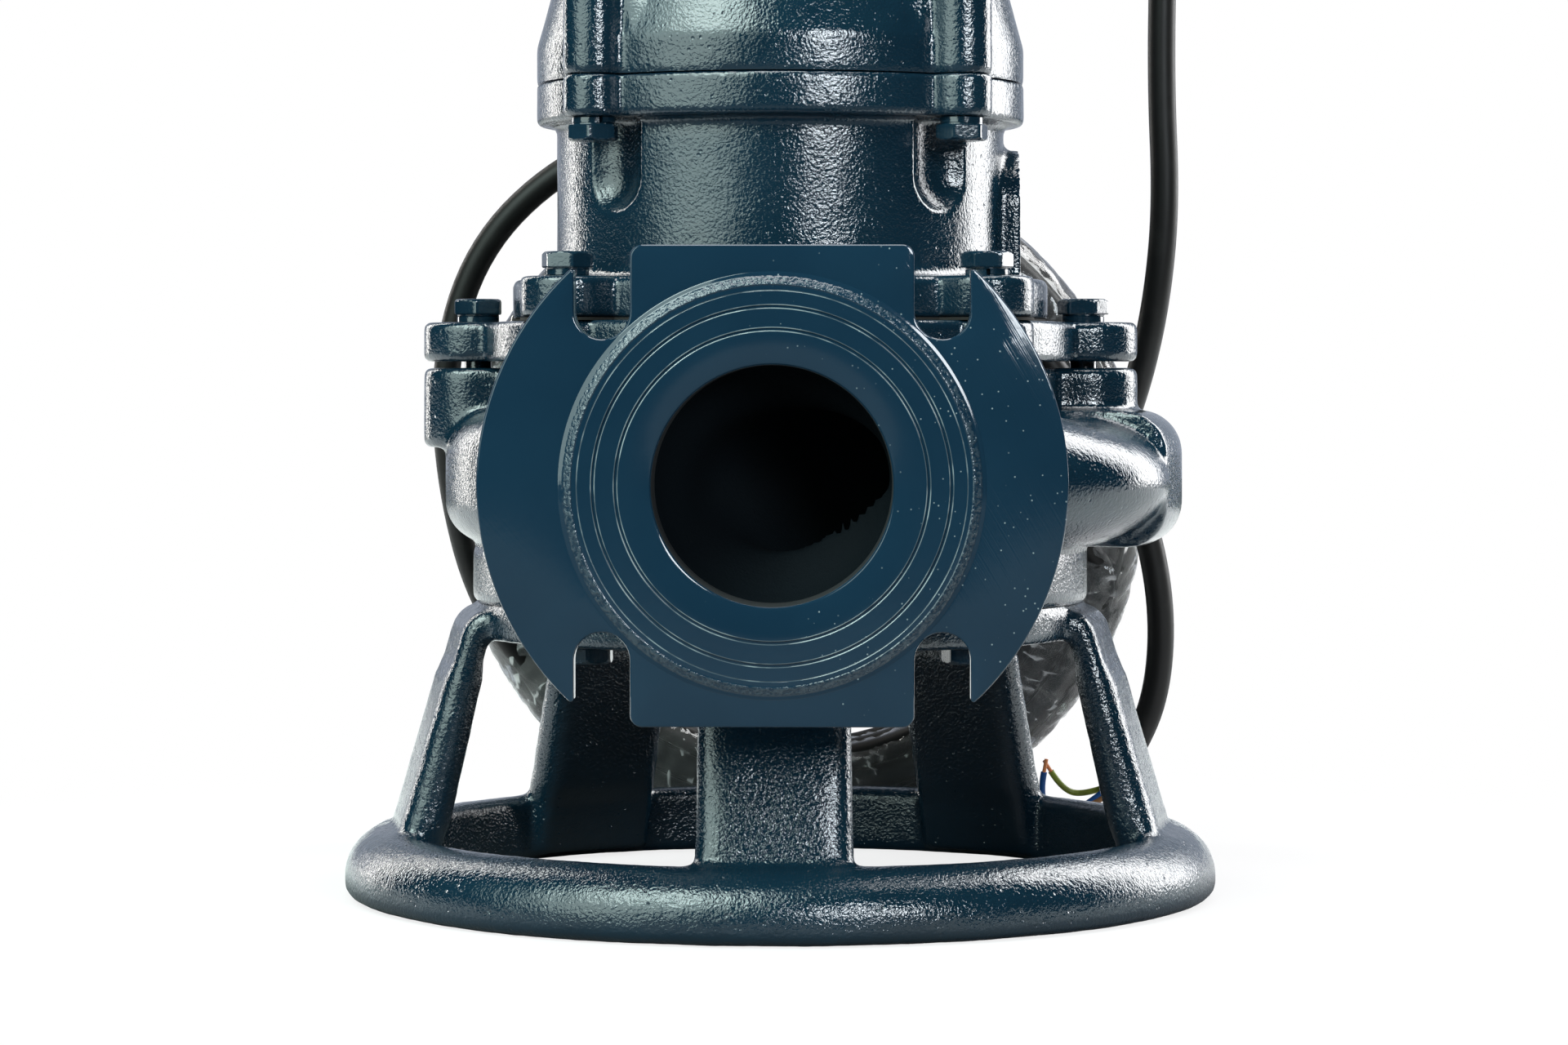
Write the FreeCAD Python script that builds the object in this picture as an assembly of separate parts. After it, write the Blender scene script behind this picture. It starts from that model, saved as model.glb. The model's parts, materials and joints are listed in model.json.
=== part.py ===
import FreeCAD, Part
import math
import os
from FreeCAD import Vector

# Submersible sewage pump with a side outlet, standing on a cast ring stand. Millimetres.
# Origin on the floor under the pump axis, +Z up along the shaft, outlet towards -Y.

# Outlet flange, sized for an 80 mm pipe
outlet_bore_r = 41.0
outlet_face_y = -180.0
outlet_axis_z = 158.0
outlet_bore_depth = 26.0
neck_inset = 1.5
mouth_step = 1.0
nozzle_start_step = 1.0
flange_r = 100.0
flange_thick = 18.0
flange_block_half = 81.5
flange_block_round = 4.0
raised_face_r = 68.0
raised_face_h = 2.0
slot_half_gap = 57.5
slot_width = 19.0
slot_centre_z = 59.0
face_groove_radii = (52.9, 60.6)
face_groove_depth = 0.8
face_groove_width = 1.2

# Stand
stand_h = 110.0
floor_ring_r = 164.0
floor_ring_width = 24.0
floor_ring_h = 25.0
floor_ring_crown = 17.0
floor_ring_heel = 5.0
leg_angles = (270.0, 350.0, 55.0, 125.0, 190.0)
leg_width = 53.0
leg_foot_thick = 17.0
leg_top_thick = 11.0
leg_shoulder_r = 120.0
leg_foot_inset = 19.0
leg_shoulder_round = 12.0
leg_edge_round = 6.0
top_ring_r = 115.0
top_ring_bore_r = 62.0
top_ring_h = 13.0
stand_bolt_circle_r = 97.0

# Volute casing
casing_h = 90.2
casing_wall = 7.5
casing_foot_r = 116.0
casing_foot_h = 23.0
spiral_mid_z = 157.0
spiral_passage_h = 35.0
spiral_corner = 8.5
spiral_side_r = 119.5
spiral_growth = 12.0
spiral_start_angle = 262.0
spiral_end_angle = -20.0
oval_points = 12
casing_collar_r = 106.0
casing_collar_h = 30.0
casing_rim_r = 97.0
chamber_r = 82.0
cover_bore_r = 88.0
suction_r = 40.0
suction_h = 12.0
chamber_floor_h = 24.0
chamber_floor_round = 4.0

# Cover over the casing
cover_thick = 14.8
cover_r = 112.0
cover_lug_gap = 2.4
cover_spigot_h = 16.0
cover_bolt_circle_r = 114.6
cover_lug_r = 20.4
seal_seat_h = 8.0
gasket_thick = 1.0

# Bracket with oil chamber and lower bearing
bracket_h = 88.5
bracket_r = 84.4
bracket_foot_r = 101.0
bracket_foot_h = 15.0
bracket_bolt_circle_r = 107.2
bracket_lug_r = 17.0
bracket_head_h = 15.5
bracket_head_r = 92.0
ear_circle_r = 94.7
ear_r = 11.0
lug_root_r = 40.0
pocket_r = 17.5
pocket_h = 38.0
pad_reach = 90.0
pad_half_width = 22.0
pad_h = 49.0
plug_rise = 10.0
plug_recess = 4.2
plug_recess_r = 10.5
plug_hole_length = 60.0
oil_chamber_r = 60.0
oil_chamber_h = 34.0
bracket_web = 14.0
register_h = 4.0

# Motor housing and top cover
housing_h = 173.5
housing_r = 79.5
housing_bore_r = 72.0
housing_foot_h = 13.5
ear_column_h = 22.5
cone_h = 45.0
housing_head_r = 84.0
housing_head_h = 12.0
top_bolt_circle_r = 86.0
top_cover_flange_h = 12.0
dome_h = 32.0
dome_r = 66.0
dome_top_r = 50.0
dome_wall = 7.0

# Shaft, rotor and impeller
seal_shaft_r = 12.5
impeller_shaft_r = 10.0
core_shaft_r = 17.0
top_shaft_r = 8.5
impeller_r = 76.0
impeller_eye_r = 35.0
impeller_hub_r = 19.0
impeller_h = 42.0
shroud_thick = 4.5
impeller_floor_gap = 2.5
impeller_skirt_h = 9.0
vane_count = 2
vane_thick = 6.0
vane_start_r = 38.0
vane_wrap = 140.0
wear_ring_wall = 5.6
rotor_r = 34.0
stator_bore_r = 34.6
core_h = 80.0
core_lift = 37.5
end_ring_h = 6.0
winding_h = 18.0
winding_r = 64.0
winding_bore_r = 42.0

# Ball bearings: bore, outside, width, ball and count
lower_bearing = {"bore_r": 12.5, "outer_r": 31.0, "width": 17.0, "ball_r": 5.75, "balls": 7}
upper_bearing = {"bore_r": 8.5, "outer_r": 23.5, "width": 14.0, "ball_r": 4.35, "balls": 7}
bearing_ring_wall = 0.29
ball_clearance = 0.05
cage_wall = 1.0
upper_bearing_drop = 28.0
circlip_gap = 10.0

# Fasteners: shank radius, width across the flats and head height
m10 = {"r": 5.0, "flats": 17.0, "head": 6.4}
m8 = {"r": 4.0, "flats": 13.0, "head": 5.3}
spring_washer_thick = 2.5
spring_washer_wall = 3.0
washer_slit = 1.2
stand_bolt_length = 25.0
cover_bolt_length = 30.0
bracket_bolt_length = 30.0
housing_bolt_length = 33.0
top_bolt_length = 30.0
handle_bolt_length = 16.0

# Lifting handle and cable gland
handle_bar_r = 7.0
handle_half_span = 46.0
handle_bar_inset = 15.0
handle_h = 78.0
handle_bend_r = 22.0
handle_foot_r = 12.0
handle_foot_h = 6.0
gland_angle = 29.7
gland_thread_r = 14.0
gland_flats = 30.0
gland_base_h = 8.0
gland_neck_h = 6.0
gland_nut_h = 15.0
gland_nut_r = 15.0
gland_boss_r = 15.6
gland_boss_reach = 66.0
gland_hole_start = 20.0
gland_hole_length = 60.0

# Cable
cable_r = 5.5
cable_start = 12.0
core_wire_r = 1.3
coil_centre_x = 5.0
coil_floor_y = 195.0
coil_lean = 7.0
coil_outer_r = 142.0
coil_radial = 41.0
coil_axial = 40.0
coil_corner = 12.0
arc_share = 0.45

# Clearances
shank_clearance = 0.25
running_clearance = 0.05
spigot_clearance = 0.15
seal_clearance = 0.3
floor_clearance = 0.3

# Heights that follow from the stack
casing_base_z = stand_h
cover_base_z = casing_base_z + casing_h
casing_lug_top_z = cover_base_z - cover_lug_gap
cover_top_z = cover_base_z + cover_thick
bracket_base_z = cover_top_z + gasket_thick
bracket_top_z = bracket_base_z + bracket_h
housing_top_z = bracket_top_z + housing_h
top_cover_flange_z = housing_top_z + top_cover_flange_h
dome_top_z = top_cover_flange_z + dome_h
chamber_floor_z = casing_base_z + chamber_floor_h
spigot_base_z = cover_base_z - cover_spigot_h
impeller_base_z = chamber_floor_z + impeller_floor_gap
impeller_top_z = impeller_base_z + impeller_h
web_base_z = bracket_base_z + oil_chamber_h
lower_bearing_z = web_base_z + bracket_web
core_base_z = bracket_top_z + core_lift
gland_axis_z = top_cover_flange_z + dome_h / 2

corner_angles = (45.0, 135.0, 225.0, 315.0)
cross_angles = (0.0, 90.0, 180.0, 270.0)


def polar(radius, angle, z=0.0):
    """Point at a radius and an angle in degrees about the pump axis."""
    turn = math.radians(angle)
    return Vector(radius * math.cos(turn), radius * math.sin(turn), z)


def rounded_outline(points, place):
    """Closed wire through (u, v, corner radius) points; place turns (u, v) into a vector."""
    starts = []
    corners = []
    for index, (u, v, radius) in enumerate(points):
        here = Vector(u, v, 0)
        before = Vector(points[index - 1][0], points[index - 1][1], 0)
        after = Vector(points[(index + 1) % len(points)][0], points[(index + 1) % len(points)][1], 0)
        back = (before - here).normalize()
        ahead = (after - here).normalize()
        if radius <= 0:
            starts.append((here, here))
            corners.append(None)
            continue
        half = math.acos(max(-1.0, min(1.0, back.dot(ahead)))) / 2
        reach = radius / math.tan(half)
        bisector = (back + ahead).normalize()
        centre = here + bisector * (radius / math.sin(half))
        starts.append((here + back * reach, here + ahead * reach))
        corners.append(centre - bisector * radius)
    edges = []
    for index, middle in enumerate(corners):
        arc_in, arc_out = starts[index]
        if middle is not None:
            ends = [place(p.x, p.y) for p in (arc_in, middle, arc_out)]
            edges.append(Part.Arc(*ends).toShape())
        line_end = starts[(index + 1) % len(starts)][0]
        if (line_end - arc_out).Length > 1e-6:
            edges.append(Part.LineSegment(place(arc_out.x, arc_out.y), place(line_end.x, line_end.y)).toShape())
    return Part.Wire(edges)


def revolved(points, turn=360.0):
    """Solid of revolution about Z from (radius, z, corner radius) points."""
    wire = rounded_outline(points, lambda u, v: Vector(u, 0, v))
    return Part.Face(wire).revolve(Vector(0, 0, 0), Vector(0, 0, 1), turn)


def disc(radius, base_z, height, centre=Vector(0, 0, 0)):
    return Part.makeCylinder(radius, height, Vector(centre.x, centre.y, base_z))


def ring(inner_r, outer_r, base_z, height, corner=0.0):
    points = [
        (inner_r, base_z, corner),
        (outer_r, base_z, corner),
        (outer_r, base_z + height, corner),
        (inner_r, base_z + height, corner),
    ]
    return revolved(points)


def turned(shape, angle):
    """Copy of a shape turned about the pump axis."""
    copy = shape.copy()
    copy.rotate(Vector(0, 0, 0), Vector(0, 0, 1), angle)
    return copy


def lug(reach_r, end_r, base_z, height, angle, corner):
    """Lug that runs out from the axis to a rounded end about a bolt, with softened upper and lower edges."""
    blank = disc(end_r, base_z, height, Vector(reach_r, 0, 0))
    body = Part.makeBox(reach_r - lug_root_r, 2 * end_r, height, Vector(lug_root_r, -end_r, base_z))
    solid = blank.fuse(body).removeSplitter()
    if corner > 0:
        rims = [e for e in solid.Edges if abs(e.BoundBox.ZLength) < 1e-6 and e.BoundBox.XMin > lug_root_r - 1e-6
                and e.BoundBox.XMax > lug_root_r + 1e-3]
        solid = solid.makeFillet(corner, rims)
    return turned(solid, angle)


def hex_prism(flats, base_z, height):
    corner_r = flats / math.sqrt(3)
    corners = [polar(corner_r, 60 * k, base_z) for k in range(7)]
    return Part.Face(Part.makePolygon(corners)).extrude(Vector(0, 0, height))


def bolt(size, length):
    """Hexagon bolt with its seat at z 0, head above and shank below."""
    head = hex_prism(size["flats"], 0, size["head"])
    shank = disc(size["r"], -length, length + size["head"] / 2)
    return head.fuse(shank).removeSplitter()


def spring_washer(size):
    """Split lock washer with its lower face at z 0."""
    inner = size["r"] + shank_clearance
    washer = ring(inner, inner + spring_washer_wall, 0, spring_washer_thick)
    slit = Part.makeBox(2 * inner, washer_slit, spring_washer_thick, Vector(0, -washer_slit / 2, 0))
    return washer.cut(slit)


def around(shape, radius, angles, z, upside_down=False):
    """The same small piece at each angle of a bolt circle."""
    copies = []
    for angle in angles:
        copy = shape.copy()
        if upside_down:
            copy.rotate(Vector(0, 0, 0), Vector(1, 0, 0), 180)
        copy.translate(Vector(radius, 0, z))
        copies.append(turned(copy, angle))
    return Part.makeCompound(copies)


def holes(radius, circle_r, angles, base_z, height):
    """Round holes on a bolt circle, as one tool."""
    return Part.makeCompound([disc(radius, base_z, height, polar(circle_r, angle)) for angle in angles])


def base_stand():
    """Cast floor ring, leaning legs with rounded shoulders, and the ring that carries the casing."""
    floor_ring_bore_r = floor_ring_r - floor_ring_width
    floor_ring = revolved([
        (floor_ring_bore_r, 0, 1.5),
        (floor_ring_r, 0, floor_ring_heel),
        (floor_ring_r, floor_ring_h, floor_ring_crown),
        (floor_ring_bore_r, floor_ring_h, 3),
    ])
    under_ring_z = stand_h - top_ring_h
    leg_foot_r = floor_ring_r - leg_foot_inset
    lean = (leg_foot_r - leg_shoulder_r) / (stand_h - floor_ring_h)
    foot_out_r = leg_foot_r + lean * (floor_ring_h - 4)
    side = [
        (foot_out_r - leg_foot_thick, 2, 0),
        (foot_out_r, 2, 0),
        (leg_shoulder_r, stand_h - 1, leg_shoulder_round),
        (top_ring_r - 30, stand_h - 1, 0),
        (top_ring_r - 30, under_ring_z + 1, 0),
        (leg_shoulder_r - leg_top_thick + lean * 12, under_ring_z + 1, 5),
    ]
    wire = rounded_outline(side, lambda u, v: Vector(u, -leg_width / 2, v))
    leg = Part.Face(wire).extrude(Vector(0, leg_width, 0))
    long_edges = []
    for edge in leg.Edges:
        box = edge.BoundBox
        along_leg = box.YLength < 1e-6 and box.ZMax > floor_ring_h and box.XMax > top_ring_r - 29
        if along_leg:
            long_edges.append(edge)
    leg = leg.makeFillet(min(leg_edge_round, 0.45 * (top_ring_h - 2)), long_edges)
    top_ring = ring(top_ring_bore_r, top_ring_r, under_ring_z, top_ring_h, 2)
    stand = floor_ring.fuse([top_ring] + [turned(leg, angle) for angle in leg_angles])
    bore = disc(top_ring_bore_r, under_ring_z - 30, stand_h)
    bolt_holes = holes(m10["r"] + shank_clearance, stand_bolt_circle_r, corner_angles, under_ring_z - 1, top_ring_h + 2)
    return stand.cut([bore, bolt_holes]).removeSplitter()


def spiral_quarters():
    """Arcs of the spiral: start angle, end angle, centre and outer radius. The centres walk round a square."""
    shift = spiral_growth / 2
    corners = [Vector(-shift, shift, 0), Vector(shift, shift, 0), Vector(shift, -shift, 0), Vector(-shift, -shift, 0)]
    turns = [spiral_start_angle, 180.0, 90.0, 0.0, spiral_end_angle]
    quarters = []
    for k, centre in enumerate(corners):
        radius = spiral_side_r - shift + spiral_growth * k
        quarters.append((turns[k], turns[k + 1], centre, radius))
    return quarters


def spiral(extra, inner_r):
    """Spiral passage, or its outer wall when extra is the wall, swept arc by arc with rounded outer corners."""
    half = spiral_passage_h / 2 + extra
    low = spiral_mid_z - half
    high = spiral_mid_z + half
    sweeps = []
    for start, end, centre, radius in spiral_quarters():
        section = rounded_outline([
            (inner_r, low, 0),
            (radius + extra, low, spiral_corner + extra),
            (radius + extra, high, spiral_corner + extra),
            (inner_r, high, 0),
        ], lambda u, v: Vector(u, 0, v))
        sweep = Part.Face(section).revolve(Vector(0, 0, 0), Vector(0, 0, 1), start - end)
        sweep.rotate(Vector(0, 0, 0), Vector(0, 0, 1), end)
        sweep.translate(centre)
        sweeps.append(sweep)
    return sweeps[0].fuse(sweeps[1:]).removeSplitter()


def oval(centre, turn, half_width, half_height):
    """Closed oval standing in a vertical plane turned about Z; a circle when both halves are equal."""
    along = polar(1, turn)
    points = []
    for k in range(oval_points):
        angle = 2 * math.pi * k / oval_points
        points.append(centre + along * (half_width * math.cos(angle)) + Vector(0, 0, half_height * math.sin(angle)))
    curve = Part.BSplineCurve()
    curve.interpolate(points, PeriodicFlag=True)
    return Part.Wire(curve.toShape())


def nozzle(extra):
    """Swan-neck passage from the end of the spiral to the outlet, as a loft of ovals that turn with the flow."""
    _, _, end_centre, end_radius = spiral_quarters()[-1]
    end_r = (end_centre + polar(end_radius, spiral_end_angle)).Length
    start_half = (end_r - chamber_r) / 2
    start = polar(end_r - start_half, spiral_end_angle)
    half = spiral_passage_h / 2
    neck_y = outlet_face_y + outlet_bore_depth
    rise = outlet_axis_z - spiral_mid_z
    neck_wall = min(extra, slot_half_gap - slot_width / 2 - outlet_bore_r - neck_inset)
    mouth = outlet_bore_r + neck_wall - extra - mouth_step
    # centre x, centre y, turn of the section, half width, half height, share of the rise
    stations = [
        (start.x, start.y, spiral_end_angle, start_half - nozzle_start_step, half - nozzle_start_step, 0),
        (84, -84, -47, 29, half + 2, 0.1),
        (44, -108, -52, 31, half + 9, 0.4),
        (11, neck_y + 22, -26, 36, 26, 0.8),
        (0, neck_y, 0, mouth, mouth, 1),
        (0, outlet_face_y + flange_thick, 0, mouth, mouth, 1),
    ]
    ovals = []
    for x, y, turn, half_w, half_h, share in stations:
        centre = Vector(x, y, spiral_mid_z + rise * share)
        ovals.append(oval(centre, turn, half_w + extra, half_h + extra))
    return Part.makeLoft(ovals, True, False, False, 3)


def outlet_flange():
    """Slotted flange: a round plate, cut flat above and below, with two open bolt slots at each end."""
    back_y = outlet_face_y + flange_thick

    def place(u, v):
        return Vector(u, back_y, outlet_axis_z + v)

    plate_body = Part.Face(Part.Wire(Part.makeCircle(flange_r, place(0, 0), Vector(0, 1, 0)))).extrude(
        Vector(0, -(flange_thick - raised_face_h), 0))
    slot_inner = slot_half_gap - slot_width / 2
    tall = 2 * flange_r
    trims = []
    for side in (-1, 1):
        top = side * flange_block_half
        far = side * tall
        block_trim = [(-slot_inner, top, 0), (slot_inner, top, 0), (slot_inner, far, 0), (-slot_inner, far, 0)]
        trims.append(Part.Face(rounded_outline(block_trim, place)).extrude(Vector(0, -flange_thick, 0)))
        for hand in (-1, 1):
            near_x = hand * slot_inner
            far_x = hand * (slot_inner + slot_width)
            foot = side * (slot_centre_z - slot_width / 2)
            outline = [
                (near_x, foot, slot_width / 2 - 0.01),
                (far_x, foot, slot_width / 2 - 0.01),
                (far_x, far, 0),
                (near_x, far, 0),
            ]
            trims.append(Part.Face(rounded_outline(outline, place)).extrude(Vector(0, -flange_thick, 0)))
    flange = plate_body.cut(trims)
    corner_edges = []
    for edge in flange.Edges:
        box = edge.BoundBox
        on_block = abs(abs(box.Center.x) - slot_inner) < 0.1
        at_top = abs(abs(box.Center.z - outlet_axis_z) - flange_block_half) < 0.1
        if on_block and at_top and box.YLength > flange_thick / 2:
            corner_edges.append(edge)
    flange = flange.makeFillet(flange_block_round, corner_edges)
    face = Part.makeCylinder(
        raised_face_r, flange_thick, Vector(0, back_y, outlet_axis_z), Vector(0, -1, 0))
    return flange.fuse(face)


def volute_casing():
    """Spiral casing: drum, spiral wall, swan-neck nozzle and flange outside; chamber and passages inside."""
    collar_base_z = casing_lug_top_z - casing_collar_h
    foot_top_z = casing_base_z + casing_foot_h
    drum = revolved([
        (suction_r - 5, casing_base_z, 0),
        (casing_foot_r, casing_base_z, 3),
        (casing_foot_r, foot_top_z, 5),
        (casing_collar_r, foot_top_z, 0),
        (casing_collar_r, casing_lug_top_z, 2),
        (casing_rim_r, casing_lug_top_z, 0),
        (casing_rim_r, cover_base_z, 0),
        (suction_r - 5, cover_base_z, 0),
    ])
    lugs = [
        lug(cover_bolt_circle_r, cover_lug_r, collar_base_z, casing_collar_h, angle, 2.5) for angle in cross_angles]
    outside = drum.fuse(lugs + [spiral(casing_wall, chamber_r - 4), nozzle(casing_wall), outlet_flange()])
    chamber = revolved([
        (0, casing_base_z - 1, 0),
        (suction_r, casing_base_z - 1, 0),
        (suction_r, casing_base_z + suction_h, 0),
        (impeller_eye_r + wear_ring_wall * 2 + 2, casing_base_z + suction_h, 0),
        (impeller_eye_r + wear_ring_wall * 2 + 2, chamber_floor_z, 0),
        (chamber_r, chamber_floor_z, chamber_floor_round),
        (chamber_r, spigot_base_z, 0),
        (cover_bore_r, spigot_base_z, 0),
        (cover_bore_r, cover_base_z + 1, 0),
        (0, cover_base_z + 1, 0),
    ])
    outlet_bore = Part.makeCylinder(
        outlet_bore_r, outlet_bore_depth + 1, Vector(0, outlet_face_y - 1, outlet_axis_z), Vector(0, 1, 0))
    grooves = []
    for radius in face_groove_radii:
        outer = Part.makeCylinder(radius + face_groove_width / 2, face_groove_depth,
                                  Vector(0, outlet_face_y, outlet_axis_z), Vector(0, 1, 0))
        inner = Part.makeCylinder(radius - face_groove_width / 2, face_groove_depth,
                                  Vector(0, outlet_face_y, outlet_axis_z), Vector(0, 1, 0))
        grooves.append(outer.cut(inner))
    bolt_depth = cover_bolt_length - cover_thick
    cover_holes = holes(m10["r"] + shank_clearance, cover_bolt_circle_r, cross_angles,
                        casing_lug_top_z - bolt_depth, bolt_depth + 1)
    stand_depth = stand_bolt_length - top_ring_h + 1
    stand_holes = holes(m10["r"] + shank_clearance, stand_bolt_circle_r, corner_angles,
                        casing_base_z - 1, stand_depth)
    hollow = [chamber, spiral(0, chamber_r - 8), nozzle(0), outlet_bore, cover_holes, stand_holes]
    return outside.cut(hollow + grooves)


def wear_ring():
    """Replaceable ring round the impeller eye, let into the casing floor."""
    bore_r = impeller_eye_r + wear_ring_wall + seal_clearance + 1
    outer_r = impeller_eye_r + wear_ring_wall * 2 + 2
    return ring(bore_r, outer_r, casing_base_z + suction_h, chamber_floor_h - suction_h, 0.5)


def casing_o_ring():
    """Round-section seal in the corner between the cover's spigot and the casing."""
    section_r = 1.7
    z = cover_base_z - 5.0
    return Part.makeTorus(cover_bore_r - section_r - 0.05, section_r, Vector(0, 0, z))


def oil_chamber_cover():
    """Plate that closes the pump chamber and the oil chamber, with lugs, a spigot and the lower seal seat."""
    seat_r = seal_shaft_r + 8.5
    body = revolved([
        (seal_shaft_r + 1.5, spigot_base_z, 0),
        (cover_bore_r - spigot_clearance, spigot_base_z, 2),
        (cover_bore_r - spigot_clearance, cover_base_z, 0),
        (cover_r, cover_base_z, 1),
        (cover_r, cover_top_z, 2),
        (seal_shaft_r + 1.5, cover_top_z, 0),
    ])
    lugs = [
        lug(cover_bolt_circle_r, cover_lug_r, cover_base_z, cover_thick, angle, 2.5) for angle in cross_angles]
    ears = [
        lug(bracket_bolt_circle_r, bracket_lug_r, cover_base_z, cover_thick, angle, 2.5) for angle in corner_angles]
    seal_seat = disc(seat_r, cover_top_z - seal_seat_h, seal_seat_h + 1)
    groove = ring(cover_bore_r - 3.6, cover_bore_r + 1, cover_base_z - 7, 4)
    cover_holes = holes(m10["r"] + shank_clearance, cover_bolt_circle_r, cross_angles, cover_base_z - 1, cover_thick + 2)
    deep = bracket_bolt_length - bracket_foot_h + 1
    bracket_holes = holes(m10["r"] + shank_clearance, bracket_bolt_circle_r, corner_angles, cover_top_z - deep, deep + 1)
    plate_body = body.fuse(lugs + ears)
    return plate_body.cut([seal_seat, groove, cover_holes, bracket_holes]).removeSplitter()


def cover_gasket():
    """Paper gasket between the cover and the bracket."""
    body = ring(oil_chamber_r, bracket_foot_r, cover_top_z, gasket_thick)
    ears = []
    for angle in corner_angles:
        ears.append(lug(bracket_bolt_circle_r, bracket_lug_r, cover_top_z, gasket_thick, angle, 0))
    opening = disc(oil_chamber_r, cover_top_z - 1, gasket_thick + 2)
    bolt_holes = holes(m10["r"] + shank_clearance, bracket_bolt_circle_r, corner_angles, cover_top_z - 1,
                       gasket_thick + 2)
    return body.fuse(ears).cut([opening, bolt_holes]).removeSplitter()


def bracket():
    """Oil chamber and bearing bracket: two bolted flanges, a barrel with wrench pockets, and the filling pad."""
    foot_top_z = bracket_base_z + bracket_foot_h
    head_base_z = bracket_top_z - bracket_head_h
    barrel = revolved([
        (seal_shaft_r + 1.5, bracket_base_z, 0),
        (bracket_foot_r, bracket_base_z, 1),
        (bracket_foot_r, foot_top_z, 3),
        (bracket_r, foot_top_z, 4),
        (bracket_r, head_base_z, 3),
        (bracket_head_r, head_base_z, 2),
        (bracket_head_r, bracket_top_z, 1),
        (housing_bore_r - spigot_clearance, bracket_top_z, 0),
        (housing_bore_r - spigot_clearance, bracket_top_z + register_h, 0.8),
        (seal_shaft_r + 1.5, bracket_top_z + register_h, 0),
    ])
    lugs = [
        lug(bracket_bolt_circle_r, bracket_lug_r, bracket_base_z, bracket_foot_h, angle, 2) for angle in corner_angles]
    ears = [lug(ear_circle_r, ear_r, head_base_z, bracket_head_h, angle, 1.5) for angle in corner_angles]
    pad_outline = [
        (-pad_half_width, foot_top_z - 2, 0),
        (pad_half_width, foot_top_z - 2, 0),
        (pad_half_width, foot_top_z + pad_h, pad_half_width - 0.5),
        (-pad_half_width, foot_top_z + pad_h, pad_half_width - 0.5),
    ]
    pad_wire = rounded_outline(pad_outline, lambda u, v: Vector(bracket_r - 25, u, v))
    pad = Part.Face(pad_wire).extrude(Vector(pad_reach - bracket_r + 25, 0, 0))
    body = barrel.fuse(lugs + ears + [pad])
    pocket_base_z = head_base_z - pocket_h + pocket_r
    pocket = disc(pocket_r, pocket_base_z, head_base_z - pocket_base_z).fuse(
        Part.makeSphere(pocket_r, Vector(0, 0, pocket_base_z)))
    pockets = around(pocket, ear_circle_r, corner_angles, 0)
    oil_chamber = revolved([
        (0, bracket_base_z - 1, 0),
        (oil_chamber_r, bracket_base_z - 1, 0),
        (oil_chamber_r, web_base_z, 6),
        (0, web_base_z, 0),
    ])
    bearing_seat = disc(lower_bearing["outer_r"] + running_clearance, lower_bearing_z, bracket_h)
    seal_seat = disc(seal_shaft_r + 8.5, web_base_z - 1, seal_seat_h + 1)
    boss_r = lower_bearing["outer_r"] + 8
    recess = revolved([
        (boss_r, lower_bearing_z + 4, 4),
        (pocket_inner_r() - 8, lower_bearing_z + 4, 4),
        (pocket_inner_r() - 8, bracket_top_z + register_h + 1, 0),
        (boss_r, bracket_top_z + register_h + 1, 0),
    ])
    circlip_z = lower_bearing_z + lower_bearing["width"]
    boss_trim = ring(lower_bearing["outer_r"] - 1, pocket_inner_r() - 8, circlip_z + 8, bracket_h)
    groove = ring(lower_bearing["outer_r"] - 1, lower_bearing["outer_r"] + 1.6, circlip_z, 2)
    shaft_hole = disc(seal_shaft_r + 1.5, bracket_base_z, bracket_h)
    bracket_holes = holes(m10["r"] + shank_clearance, bracket_bolt_circle_r, corner_angles, bracket_base_z - 1,
                          bracket_foot_h + 2)
    housing_holes = holes(m10["r"] + shank_clearance, ear_circle_r, corner_angles, head_base_z - 1,
                          bracket_head_h + 2)
    plug_hole = Part.makeCylinder(m10["r"] + shank_clearance, plug_hole_length, oil_plug_seat(), Vector(-1, 0, 0))
    plug_sink = Part.makeCylinder(plug_recess_r, plug_recess + 1, oil_plug_seat(), Vector(1, 0, 0))
    cuts = [pockets, oil_chamber, bearing_seat, seal_seat, recess, boss_trim, groove, shaft_hole]
    return body.cut(cuts + [bracket_holes, housing_holes, plug_hole, plug_sink]).removeSplitter()


def pocket_inner_r():
    """Distance from the axis to the deepest point of a wrench pocket."""
    return ear_circle_r - pocket_r


def oil_plug_seat():
    """Middle of the sunk seat in the filling pad."""
    return Vector(pad_reach - plug_recess, 0, bracket_base_z + oil_chamber_h / 2 + plug_rise)


def oil_plug():
    """Low hexagon socket plug on a copper washer, with its thread in the pad."""
    seat = oil_plug_seat()
    washer = 1.2
    head = Part.makeCylinder(8.5, 3.0, seat + Vector(washer, 0, 0), Vector(1, 0, 0))
    thread = Part.makeCylinder(m10["r"], 15, seat + Vector(washer + 1, 0, 0), Vector(-1, 0, 0))
    socket = hex_prism(6, 0, 4)
    socket.rotate(Vector(0, 0, 0), Vector(0, 1, 0), 90)
    socket.translate(seat + Vector(washer + 0.5, 0, 0))
    return head.fuse(thread).cut(socket)


def oil_plug_washer():
    seat = oil_plug_seat()
    outer = Part.makeCylinder(9.5, 1.2, seat, Vector(1, 0, 0))
    return outer.cut(Part.makeCylinder(m10["r"] + shank_clearance, 1.2, seat, Vector(1, 0, 0)))


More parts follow.
